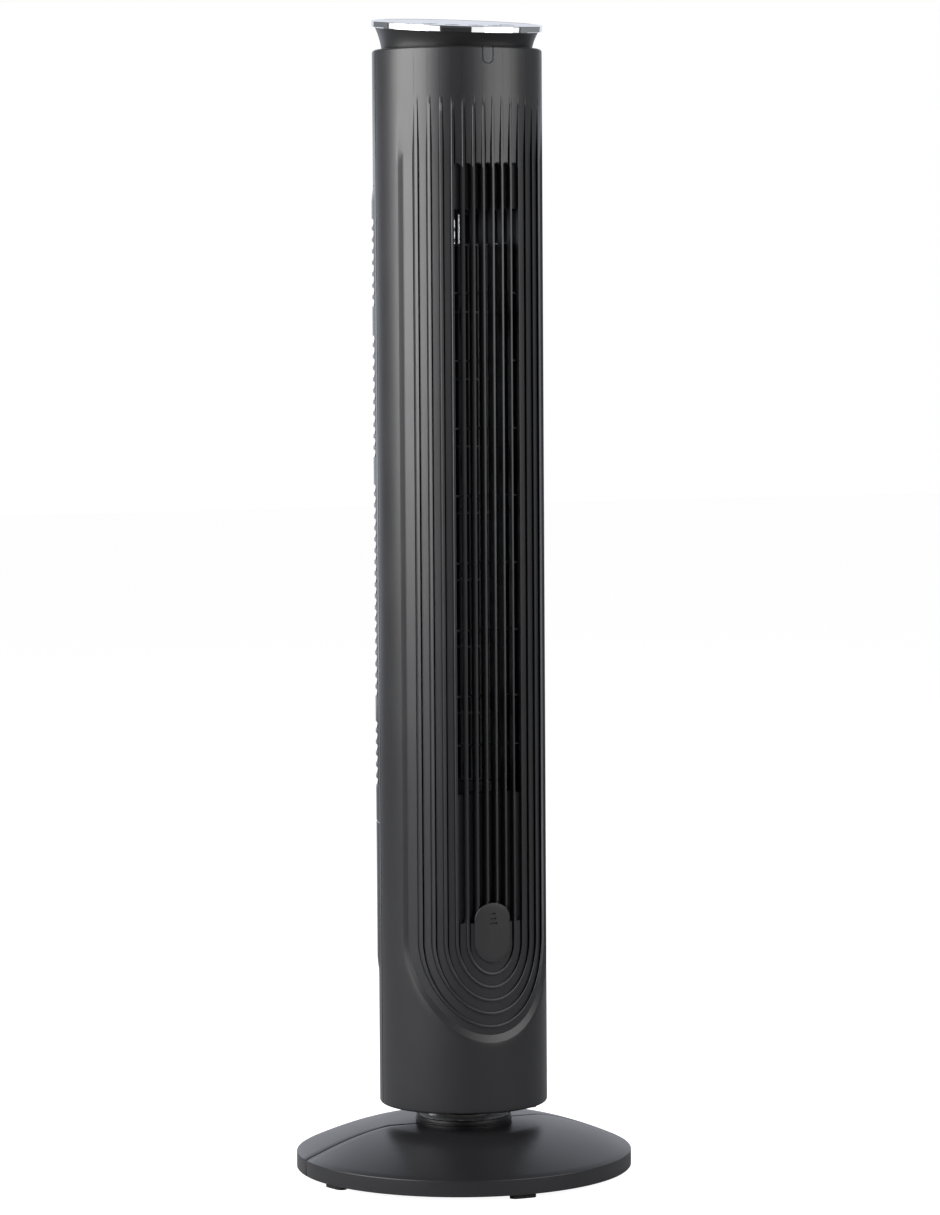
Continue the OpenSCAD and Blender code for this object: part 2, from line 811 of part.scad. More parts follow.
module cap_neck() {
  color([0.05, 0.05, 0.055]) difference() {
    union() {
      cap_loft(66.3, 73, column_z1 - 1, -0.5);
      tube(62, 66.3, 984, column_z1);
      tube(62, 71.5, 991.5, column_z1 - 3.1);
    }
    cap_loft(63.3, 70, column_z1 - 1.5, 0.2);
    disc(63.3, 980, column_z1);
    for (a = diagonals) rotate([0, 0, a]) translate([69.2, 0, 0]) disc(1.5, 990, 996);
  }
}

module cap_screws() {
  color([0.7, 0.71, 0.73])
    for (a = diagonals) rotate([0, 0, a]) translate([69.2, 0, 991.5]) screw(2.4, 1.8, 1.1, 5.5);
}

module chrome_ring() {
  color([0.85, 0.86, 0.88]) on_cap() rotate_extrude() polygon(concat(
    [[71.6, 0], [73.3, 0], [73.3, -1.2], [ring_r - 0.4, -1.2], [ring_r, -0.8]],
    arc(ring_r - 0.7, ring_h - 0.7, 0.7, 0.7, 0, 90, 4), [[71.6, ring_h]]));
}

function button_place(i) = let (a = (i - 2) * 26) [button_circle * sin(a), -button_circle * cos(a), 0];

module rounded_bar(w, d, z1, z2) {
  block([-w / 2 + d / 2, -d / 2, z1], [w / 2 - d / 2, d / 2, z2]);
  for (s = [-1, 1]) translate([s * (w / 2 - d / 2), 0, 0]) disc(d / 2, z1, z2);
}

module control_panel() {
  color([0.02, 0.02, 0.025]) on_cap() difference() {
    union() {
      disc(71.4, 0.6, ring_h - 0.1);
      for (s = [-1, 1]) for (y = [-17, 20]) translate([s * 46, y, 0]) disc(2.5, -5, 1);
    }
    for (i = [0:4]) translate(button_place(i)) disc(button_r + 0.3, 0, ring_h + 1);
    translate([0, -8, 0]) rounded_bar(46.4, 14.4, 0, ring_h + 1);
  }
}

module display_window() {
  color([0.15, 0.15, 0.2]) on_cap() translate([0, -8, 0]) rounded_bar(46, 14, 1.2, ring_h - 0.1);
}

// The board under the panel and the small switches that the buttons press
module key_board() {
  color([0.1, 0.35, 0.15]) on_cap() {
    intersection() {
      block([-60, -60, -6.6], [60, 26, -5]);
      disc(60, -7, -4);
    }
    for (i = [0:4]) translate(button_place(i)) block([-3, -3, -5.1], [3, 3, -2.4]);
    translate([0, -8, 0]) block([-20, -5, -5.1], [20, 5, -1]);
  }
}

module button(i) {
  color([0.12, 0.12, 0.13]) on_cap() translate(button_place(i)) difference() {
    union() {
      disc(button_r, 0, ring_h);
      disc(button_r + 1.3, -0.9, 0.5);
      disc(2, -1.5, 0);
    }
    // shallow finger dish
    translate([0, 0, ring_h + 39.6]) sphere(r = 40);
  }
}

// ---- nodes -----------------------------------------------------------------

base_front();
base_rear();
feet();
neck();
neck_screws();
thrust_plate();
thrust_washer();
sun_gear();
retaining_ring();
column_floor();
pivot_bush();
floor_screws();
osc_motor();
osc_screws();
drive_pinion();
front_shell();
rear_shell();
rear_grille();
shell_screws();
badge();
ir_window();
ir_board();
grille_brace();
blank_top();
blank_bottom();
cord_gland();
duct_bottom();
duct_top();
scroll_wall();
vortex_tongue();
impeller_drum();
impeller_hub();
top_stub();
motor_shaft();
motor_rotor();
upper_bearing();
bearing_rubber();
motor_bracket();
motor_bumpers();
motor_top_bell();
motor_bottom_bell();
motor_stator();
motor_coils();
motor_bushes();
motor_lead();
main_board();
board_parts();
capacitor();
panel_ribbon();
cap_neck();
cap_screws();
chrome_ring();
control_panel();
display_window();
key_board();
button(0);  // button_power
button(1);  // button_speed
button(2);  // button_mode
button(3);  // button_timer
button(4);  // button_oscillate
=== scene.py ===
"""Looks of the tower fan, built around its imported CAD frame.

The pieces whose surface shows are rebuilt here as fine meshes on the CAD's own sizes, and everything
else keeps its CAD mesh and gets a procedural material. Lengths inside the builders are millimetres
in the CAD frame (+Z up, front towards -Y); make_piece() turns them into metres.
"""
import json
import math

import bmesh
import bpy
from mathutils import Matrix, Vector


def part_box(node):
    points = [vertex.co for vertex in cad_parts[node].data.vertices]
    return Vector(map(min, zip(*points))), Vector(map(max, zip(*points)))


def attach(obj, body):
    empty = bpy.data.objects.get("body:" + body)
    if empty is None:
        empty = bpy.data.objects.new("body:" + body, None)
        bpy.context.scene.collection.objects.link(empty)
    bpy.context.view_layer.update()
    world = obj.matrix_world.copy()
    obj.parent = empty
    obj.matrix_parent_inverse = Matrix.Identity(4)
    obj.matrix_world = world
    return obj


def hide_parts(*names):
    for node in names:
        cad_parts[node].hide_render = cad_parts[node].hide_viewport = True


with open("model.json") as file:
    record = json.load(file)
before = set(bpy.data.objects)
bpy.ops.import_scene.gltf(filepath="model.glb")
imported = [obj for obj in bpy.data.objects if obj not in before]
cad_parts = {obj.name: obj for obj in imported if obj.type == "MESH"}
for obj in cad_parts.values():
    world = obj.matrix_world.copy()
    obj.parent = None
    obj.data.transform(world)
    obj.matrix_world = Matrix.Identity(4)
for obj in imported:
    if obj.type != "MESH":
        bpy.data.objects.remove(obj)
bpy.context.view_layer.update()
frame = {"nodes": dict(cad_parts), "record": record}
MM = 0.001


def low_high(node):
    """A node's lowest and highest corner in millimetres."""
    low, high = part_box(node)
    return [c / MM for c in low], [c / MM for c in high]


# ---- sizes taken from the frame ----------------------------------------------------------

SHELL_LOW, SHELL_HIGH = low_high("front_shell")
GRILLE_LOW, GRILLE_HIGH = low_high("rear_grille")
BASE_LOW, BASE_HIGH = low_high("base_front")
COLUMN_R = -SHELL_LOW[1]
COLUMN_Z0 = SHELL_LOW[2]
COLUMN_Z1 = SHELL_HIGH[2]
SEAM_Y = SHELL_HIGH[1]
BASE_R = BASE_HIGH[0]
RIM_Z0 = BASE_LOW[2]
BASE_TOP_Z = BASE_HIGH[2]
WALL = 3.0
NECK_HOLE_R = 67.0          # the round opening at the column's top
OUTSIDE_R = 80.0            # a cutter starts this far out, clear of every surface

# ---- materials ---------------------------------------------------------------------------


def new_material(name, color, roughness, metallic=0.0, **extra):
    """A Principled material; extra names more of its inputs. Returns the material and its nodes."""
    mat = bpy.data.materials.new(name)
    mat.use_nodes = True
    shader = mat.node_tree.nodes["Principled BSDF"]
    shader.inputs["Base Color"].default_value = (*color, 1)
    shader.inputs["Roughness"].default_value = roughness
    shader.inputs["Metallic"].default_value = metallic
    for key, value in extra.items():
        shader.inputs[key.replace("_", " ")].default_value = value
    return mat, mat.node_tree, shader


def object_noise(tree, scale, detail=2.0, stretch=(1, 1, 1)):
    """A noise texture in object space, in cycles per metre."""
    nodes, links = tree.nodes, tree.links
    coords = nodes.new("ShaderNodeTexCoord")
    mapping = nodes.new("ShaderNodeMapping")
    mapping.inputs["Scale"].default_value = stretch
    noise = nodes.new("ShaderNodeTexNoise")
    noise.inputs["Scale"].default_value = scale
    noise.inputs["Detail"].default_value = detail
    links.new(coords.outputs["Object"], mapping.inputs["Vector"])
    links.new(mapping.outputs["Vector"], noise.inputs["Vector"])
    return noise.outputs["Fac"]


def spread(tree, factor, low, high):
    """Maps a 0 to 1 texture onto low to high."""
    node = tree.nodes.new("ShaderNodeMapRange")
    node.inputs["From Min"].default_value = 0.3
    node.inputs["From Max"].default_value = 0.7
    node.inputs["To Min"].default_value = low
    node.inputs["To Max"].default_value = high
    tree.links.new(factor, node.inputs["Value"])
    return node.outputs["Result"]


def mix_colors(tree, factor, a, b):
    """Blends two colours by a 0 to 1 texture."""
    node = tree.nodes.new("ShaderNodeMix")
    node.data_type = "RGBA"
    node.inputs["A"].default_value = (*a, 1)
    node.inputs["B"].default_value = (*b, 1)
    tree.links.new(factor, node.inputs["Factor"])
    return node.outputs["Result"]


def add_bump(tree, shader, height, strength, distance):
    """Feeds a texture to a shader as fine relief."""
    node = tree.nodes.new("ShaderNodeBump")
    node.inputs["Strength"].default_value = strength
    node.inputs["Distance"].default_value = distance
    tree.links.new(height, node.inputs["Height"])
    tree.links.new(node.outputs["Normal"], shader.inputs["Normal"])


def moulded_plastic(name, color, roughness, grain=2600.0, grain_depth=0.12):
    """Moulded plastic: a fine spark-eroded grain, and soft patches of slightly different gloss."""
    mat, tree, shader = new_material(name, color, roughness)
    patches = object_noise(tree, 14.0, 3.0)
    lighter = [min(1.0, c * 1.25 + 0.001) for c in color]
    tree.links.new(mix_colors(tree, patches, color, lighter), shader.inputs["Base Color"])
    tree.links.new(spread(tree, patches, roughness * 0.94, roughness * 1.06), shader.inputs["Roughness"])
    add_bump(tree, shader, object_noise(tree, grain, 1.0), grain_depth, 0.0002)
    return mat


def gloss_plastic(name, color, roughness=0.06):
    """Polished plastic with the faintest haze."""
    mat, tree, shader = new_material(name, color, roughness, Coat_Weight=0.5, Coat_Roughness=0.03)
    haze = object_noise(tree, 40.0, 4.0)
    tree.links.new(spread(tree, haze, roughness * 0.7, roughness * 1.6), shader.inputs["Roughness"])
    darker = [c * 0.7 for c in color]
    tree.links.new(mix_colors(tree, haze, color, darker), shader.inputs["Base Color"])
    return mat


def plated_metal(name, color, roughness, grain=600.0, stretch=(1, 1, 1)):
    """Bare or plated metal with fine streaks."""
    mat, tree, shader = new_material(name, color, roughness, metallic=1.0)
    streaks = object_noise(tree, grain, 3.0, stretch)
    tree.links.new(spread(tree, streaks, roughness * 0.8, roughness * 1.3), shader.inputs["Roughness"])
    duller = [c * 0.88 for c in color]
    tree.links.new(mix_colors(tree, streaks, color, duller), shader.inputs["Base Color"])
    return mat


def rubbery(name, color):
    """Matt rubber or soft insulation with a trace of dust."""
    mat, tree, shader = new_material(name, color, 0.8)
    dust = object_noise(tree, 90.0, 4.0)
    lighter = [min(1.0, c * 1.6 + 0.004) for c in color]
    tree.links.new(mix_colors(tree, dust, color, lighter), shader.inputs["Base Color"])
    add_bump(tree, shader, object_noise(tree, 1500.0, 1.0), 0.25, 0.0002)
    return mat


def copper_winding(name):
    """Enamelled wire: fine turns round the winding."""
    mat, tree, shader = new_material(name, (0.55, 0.2, 0.07), 0.3, metallic=1.0)
    turns = object_noise(tree, 60.0, 2.0, (1, 1, 30))
    color = mix_colors(tree, turns, (0.6, 0.24, 0.09), (0.3, 0.1, 0.04))
    tree.links.new(color, shader.inputs["Base Color"])
    add_bump(tree, shader, turns, 0.5, 0.0004)
    return mat


def circuit_board(name):
    """Solder mask with copper showing faintly through it as tracks."""
    mat, tree, shader = new_material(name, (0.02, 0.12, 0.05), 0.35)
    voronoi = tree.nodes.new("ShaderNodeTexVoronoi")
    voronoi.distance = "MANHATTAN"
    voronoi.inputs["Scale"].default_value = 180.0
    coords = tree.nodes.new("ShaderNodeTexCoord")
    tree.links.new(coords.outputs["Object"], voronoi.inputs["Vector"])
    tracks = mix_colors(tree, voronoi.outputs["Distance"], (0.015, 0.09, 0.035), (0.04, 0.2, 0.08))
    tree.links.new(tracks, shader.inputs["Base Color"])
    return mat


SHELL_BLACK = moulded_plastic("shell_black", (0.0130, 0.0130, 0.0145), 0.36)
REAR_BLACK = moulded_plastic("rear_black", (0.0140, 0.0140, 0.0165), 0.27, grain_depth=0.05)
BASE_BLACK = moulded_plastic("base_black", (0.0120, 0.0120, 0.0135), 0.34, grain_depth=0.08)
NECK_BLACK = moulded_plastic("neck_black", (0.0040, 0.0040, 0.0045), 0.42, grain_depth=0.05)
BADGE_BLACK = moulded_plastic("badge_black", (0.0150, 0.0150, 0.0160), 0.42, grain_depth=0.2)
INNER_BLACK = moulded_plastic("inner_black", (0.0060, 0.0060, 0.0065), 0.55)
DRUM_GREY = moulded_plastic("drum_grey", (0.0150, 0.0150, 0.0160), 0.40)
PANEL_BLACK = gloss_plastic("panel_black", (0.004, 0.004, 0.0045))
BUTTON_BLACK = gloss_plastic("button_black", (0.010, 0.010, 0.011), 0.22)
CASE_GREY = gloss_plastic("case_grey", (0.55, 0.55, 0.5), 0.3)
COMPONENT = gloss_plastic("component_case", (0.12, 0.10, 0.05), 0.35)
CHROME = plated_metal("bright_chrome", (0.86, 0.87, 0.89), 0.05)
ZINC = plated_metal("zinc_steel", (0.62, 0.63, 0.65), 0.32)
PALE_STEEL = moulded_plastic("passivated_steel", (0.78, 0.79, 0.80), 0.45, grain_depth=0.04)
SHAFT = plated_metal("shaft_steel", (0.7, 0.71, 0.72), 0.18, stretch=(1, 1, 0.05))
LAMINATION = plated_metal("laminated_steel", (0.35, 0.35, 0.37), 0.45, grain=300.0, stretch=(1, 1, 12))
BRONZE = plated_metal("sintered_bronze", (0.5, 0.32, 0.13), 0.42)
COPPER = copper_winding("copper_winding")
BOARD = circuit_board("circuit_board")
RUBBER = rubbery("black_rubber", (0.012, 0.012, 0.012))
LEAD_RED = rubbery("lead_red", (0.3, 0.02, 0.015))
RIBBON = rubbery("ribbon_grey", (0.3, 0.3, 0.31))
ACETAL = moulded_plastic("natural_acetal", (0.72, 0.71, 0.66), 0.35, grain_depth=0.04)
DISPLAY = gloss_plastic("display_black", (0.006, 0.006, 0.008), 0.03)
IR_FILTER = moulded_plastic("ir_filter", (0.024, 0.025, 0.029), 0.38, grain_depth=0.03)

# ---- mesh helpers ------------------------------------------------------------------------


def make_piece(name, verts, faces, material, body, slot, replaces=(), sharp=32.0, bevel=0.0):
    """A mesh piece from millimetre points. Doubled points are welded and normals turned outwards."""
    mesh = bpy.data.meshes.new(name)
    mesh.from_pydata([[c * MM for c in v] for v in verts], [], faces)
    work = bmesh.new()
    work.from_mesh(mesh)
    bmesh.ops.remove_doubles(work, verts=work.verts, dist=1e-7)
    bmesh.ops.recalc_face_normals(work, faces=work.faces)
    if work.calc_volume(signed=True) < 0:
        bmesh.ops.reverse_faces(work, faces=work.faces)
    work.to_mesh(mesh)
    work.free()
    for polygon in mesh.polygons:
        polygon.use_smooth = True
    mesh.set_sharp_from_angle(angle=math.radians(sharp))
    mesh.materials.append(material)
    piece = bpy.data.objects.new(name, mesh)
    bpy.context.scene.collection.objects.link(piece)
    if bevel:
        add_bevel(piece, bevel)
    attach(piece, body)
    if replaces:
        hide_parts(*replaces)
    return piece


def add_bevel(piece, width):
    """Small rounded edges where two faces meet sharply."""
    modifier = piece.modifiers.new("edges", "BEVEL")
    modifier.width = width * MM
    modifier.segments = 2
    modifier.limit_method = "ANGLE"
    modifier.angle_limit = math.radians(40)
    modifier.harden_normals = False


def thicken(outer, inner, faces):
    """A closed solid between an outer sheet and the inner points that match it one for one."""
    count = len(outer)
    solid = list(faces) + [tuple(i + count for i in reversed(face)) for face in faces]
    uses = {}
    for face in faces:
        for a, b in zip(face, face[1:] + face[:1]):
            uses.setdefault(frozenset((a, b)), []).append((a, b))
    for pairs in uses.values():
        if len(pairs) == 1:
            a, b = pairs[0]
            solid.append((b, a, a + count, b + count))
    return list(outer) + list(inner), solid


def revolve(profile, steps=180, start=0.0, end=360.0):
    """A closed (r, z) outline turned about the axis; angles are in degrees from +X."""
    whole = abs(end - start - 360.0) < 1e-6
    columns = steps if whole else steps + 1
    size = len(profile)
    verts, faces = [], []
    for i in range(columns):
        angle = math.radians(start + (end - start) * i / steps)
        verts += [(r * math.cos(angle), r * math.sin(angle), z) for r, z in profile]
    for i in range(steps):
        a, b = i * size, ((i + 1) % columns) * size
        for k in range(size):
            n = (k + 1) % size
            faces.append((a + k, b + k, b + n, a + n))
    if not whole:
        faces.append(tuple(range(size)))
        faces.append(tuple(reversed(range(steps * size, steps * size + size))))
    return verts, faces


def arc(cx, cy, radius, start, end, steps):
    """Points along an arc, in degrees."""
    points = []
    for i in range(steps + 1):
        angle = math.radians(start + (end - start) * i / steps)
        points.append((cx + radius * math.cos(angle), cy + radius * math.sin(angle)))
    return points


def smooth(t):
    """An S-shaped step from 0 to 1."""
    t = min(1.0, max(0.0, t))
    return t * t * (3 - 2 * t)


def extrude_outline(outline, y_front, y_back):
    """A prism along Y from an (x, z) outline."""
    size = len(outline)
    verts = [(x, y, z) for y in (y_front, y_back) for x, z in outline]
    faces = [tuple(range(size)), tuple(reversed(range(size, 2 * size)))]
    for k in range(size):
        n = (k + 1) % size
        faces.append((k, k + size, n + size, n))
    return verts, faces


def polar(r, degrees, z):
    """A point at a radius and an azimuth."""
    angle = math.radians(degrees)
    return (r * math.cos(angle), r * math.sin(angle), z)


def drill(piece, x, z, radius, y0, y1):
    """Cuts a round hole along Y through a piece."""
    steps = 48
    turns = [math.tau * i / steps for i in range(steps)]
    ring = [(x + radius * math.cos(turn), z + radius * math.sin(turn)) for turn in turns]
    cut_shape(piece, *extrude_outline(ring, y0, y1))


def cut_shape(piece, verts, faces, solver="EXACT"):
    """Subtracts a closed shape from a piece and keeps the result as its mesh."""
    mesh = bpy.data.meshes.new("cutter")
    mesh.from_pydata([[c * MM for c in v] for v in verts], [], faces)
    work = bmesh.new()
    work.from_mesh(mesh)
    bmesh.ops.recalc_face_normals(work, faces=work.faces)
    work.to_mesh(mesh)
    work.free()
    cutter = bpy.data.objects.new("cutter", mesh)
    bpy.context.scene.collection.objects.link(cutter)
    modifier = piece.modifiers.new("cut", "BOOLEAN")
    modifier.operation = "DIFFERENCE"
    modifier.solver = solver
    modifier.object = cutter
    bpy.context.view_layer.update()
    evaluated = piece.evaluated_get(bpy.context.evaluated_depsgraph_get())
    result = bpy.data.meshes.new_from_object(evaluated)
    piece.modifiers.remove(modifier)
    piece.data = result
    bpy.data.objects.remove(cutter)
    result.set_sharp_from_angle(angle=math.radians(28))


# ---- front shell -------------------------------------------------------------------------

LINE_PITCH = 8.83           # spacing of the raised lines
LINE_HALF = 0.80            # half the width of a line's top
RELIEF_Z0 = 215.0           # the U turns round below this height
ELLIPSE_RATIO = 1.32        # height of the U's half-ellipses as a multiple of their half-width
FLUTE_Z = 899.0             # the relief fades out from here up to its tips
TIP_Z = 956.0
SLOT_Z0 = 231.3
SLOT_Z1 = 896.5
SLOT_HALF = 3.4             # half-width of a slot's round ends
RIB_BACK_Y = -63.5          # the slots' ribs end on this plane
SLOT_BAY_W = 34.5           # half-width of the stretch with ribs
RELIEF_WALL_R = 69.0        # inside of the wall behind the relief, where it is thicker
LAND_DEPTH = 1.75
NOTCH_DEPTH = 2.35          # thin groove on the outer side of a line
GROOVE_DEPTH = 4.0          # deep groove on its inner side
CHAMFER = 0.26              # slope on the edges of a line
POCKET_W = 18.4             # half-width of the recess round the badge
SHALLOW_A = 19.6            # nearer the middle than this, the badge's surroundings have no grooves
BADGE_W = 16.4              # half-width of the badge
BADGE_PROUD = 0.4           # how far it stands out
BAR_Z0 = 230.5              # lowest of the bars engraved in it
BAR_PITCH = 4.2
BAR_H = 1.5
BAR_DEPTH = 1.2
BADGE_RISE = 20.0           # how far up its upper round end starts
BADGE_RATIO = 0.87          # height of that end as a multiple of its half-width
BADGE_LOW_RATIO = 1.14      # and of the lower end
CORNER = 2.4                # rounding of the column's upper and lower edges
SIDE_A = 68.1               # where the relief ends and the plain cylinder starts
BEVEL_W = 3.5               # the relief's outer edge slopes up over this width, more at the bottom
MID_STEPS = (0.04, 0.12, 0.22, 0.35, 0.5, 0.65, 0.78, 0.88, 0.96)   # across the middle of a land
SIDE_STEPS = 18             # steps round the plain side
TURN_STEPS = 108            # steps round a half-ellipse


def line_a(k):
    """Distance of raised line number k from the middle."""
    return LINE_PITCH * (k + 0.5)


def fading(z):
    """How far the relief has run out at a height: 0 on the full relief, 1 above the flutes' tips."""
    return min(1.0, max(0.0, (z - FLUTE_Z) / (TIP_Z - FLUTE_Z)))


def land_depth(gone):
    """Depth of the lands between the lines, which fades out with the relief."""
    return LAND_DEPTH * (1 - gone) ** 1.3


def groove_samples(line, direction, width, depth, gone, slim):
    """(place, depth) down into a groove beside a line, from the line outwards in a direction."""
    left = 1 - gone
    floor = land_depth(gone) + (depth - LAND_DEPTH) * min(1.0, left * 2.2) * (1 - 0.75 * slim)
    width = max(0.12, width * (0.22 + 0.78 * min(1.0, left * 1.3)) * (1 - 0.62 * slim))
    chamfer = CHAMFER * min(1.0, left * 4)
    if gone >= 1:
        floor = 0.0
    cut_in = CHAMFER + slim * (0.4 if direction < 0 else -0.1)
    places = [(0.0, 0.0), (cut_in, chamfer), (cut_in + 0.08, floor), (width - 0.06, floor)]
    places += [(width, land_depth(gone))]
    return [(line + direction * place, depth) for place, depth in places]


def land_samples(k, gone, slim):
    """(place, depth) over land number k, from the line inside it to the line outside it.
    gone fades the relief out at the top, and slim thins its lines where the U turns round."""
    half = LINE_HALF * (1 - 0.45 * slim)
    if k == 0:
        inner_side = [(0.0, land_depth(gone))]
    else:
        inner_side = groove_samples(line_a(k - 1) + half, 1, 0.85, NOTCH_DEPTH, gone, slim)
    if k == 7:
        width = BEVEL_W + 1.7 * slim
        foot, low = SIDE_A - width, land_depth(gone) * 1.18
        outer_side = [(foot - 0.5, land_depth(gone))]
        outer_side += [(foot + width * t, low * (1 - t)) for t in (0.0, 0.5, 0.98, 1.0)]
    else:
        outer_side = groove_samples(line_a(k) - half, -1, 1.7, GROOVE_DEPTH, gone, slim)[::-1]
    start, end = inner_side[-1][0], outer_side[0][0]
    middle = [(start + (end - start) * t, land_depth(gone)) for t in MID_STEPS]
    return inner_side + middle + outer_side


def relief_columns(gone, slim=0.0):
    """Every column from the middle outwards: (place, depth, land number)."""
    return [(a, depth, k) for k in range(8) for a, depth in land_samples(k, gone, slim)]


def pocket_top(x):
    """Upper edge of the badge's recess."""
    reach = max(0.0, 1 - (x / POCKET_W) ** 2)
    return RELIEF_Z0 + BADGE_RISE + POCKET_W * BADGE_RATIO * math.sqrt(reach)


def seam_dip(phi):
    """The shells' edges round off towards the seam between them."""
    away = (math.pi / 2 + math.asin(SEAM_Y / COLUMN_R) - abs(phi)) * COLUMN_R
    return 0.55 * max(0.0, 1 - away / 0.55) ** 2


def shell_point(x, z_row, depth):
    """A point of the outer surface. z_row is a height, or ("low"/"high", t) on a rounded corner."""
    if isinstance(z_row, tuple):
        side, t = z_row
        if side == "lip":
            radius, z = COLUMN_R - CORNER - t * (COLUMN_R - CORNER - NECK_HOLE_R), COLUMN_Z1
        elif side == "floor":
            radius, z = COLUMN_R - CORNER - t * (WALL - CORNER), COLUMN_Z0
        else:
            turn = t * math.pi / 2
            radius = COLUMN_R - CORNER + CORNER * math.cos(turn)
            rise = CORNER * math.sin(turn)
            z = COLUMN_Z1 - CORNER + rise if side == "high" else COLUMN_Z0 + CORNER - rise
    else:
        radius, z = COLUMN_R - depth, z_row
    if isinstance(x, tuple):
        phi = x[1]
        radius -= seam_dip(phi)
        return (radius * math.sin(phi), -radius * math.cos(phi), z)
    if isinstance(z_row, tuple):
        x *= radius / COLUMN_R
    return (x, -math.sqrt(radius ** 2 - x ** 2), z)


def inner_point(point, in_slots):
    """The inside of the wall behind an outer point."""
    x, y, z = point
    reach = math.hypot(x, y)
    if in_slots and abs(x) < SLOT_BAY_W and SLOT_Z0 - 6 < z < SLOT_Z1 + 6:
        return (x, RIB_BACK_Y, z)
    if abs(x) < 66.0 and y < 0 and 110 < z < 965:
        radius = RELIEF_WALL_R
    elif z < COLUMN_Z0 + CORNER:
        radius = COLUMN_R - WALL - 0.4 * (1 - (z - COLUMN_Z0) / CORNER)
    else:
        radius = min(reach - 0.4, COLUMN_R - WALL)
    z = min(z, COLUMN_Z1 - WALL)
    return (x * radius / reach, y * radius / reach, z)


def slot_end(a, land, z_edge, direction):
    """Height of a slot's round end above or below place a."""
    reach = max(0.0, 1 - ((a - LINE_PITCH * land) / SLOT_HALF) ** 2)
    return z_edge + direction * SLOT_HALF * (math.sqrt(reach) - 1)


def front_rows():
    """Row kinds from the top down to the height where the U starts to turn."""
    rows = [("lip", 1.0), ("lip", 0.0)]
    rows += [("high", 1 - i / 5) for i in range(1, 5)]
    rows += [("z", COLUMN_Z1 - CORNER), ("z", 985.0), ("z", 970.0), ("z", TIP_Z)]
    rows += [("z", TIP_Z - (TIP_Z - FLUTE_Z) * (i / 30) ** 1.6) for i in range(1, 31)]
    rows += [("slot_rim", 1.1), ("slot_top", 0)]
    rows += [("z", z) for z in (885.0, 870.0, 800.0, 700.0, 600.0, 500.0, 400.0, 300.0, 256.0)]
    rows += [("pocket", 0.35), ("pocket", 0.0), ("slot_bottom", 0)]
    rows += [("z", z) for z in (RELIEF_Z0 + 9, RELIEF_Z0 + 4.5, RELIEF_Z0)]
    return rows


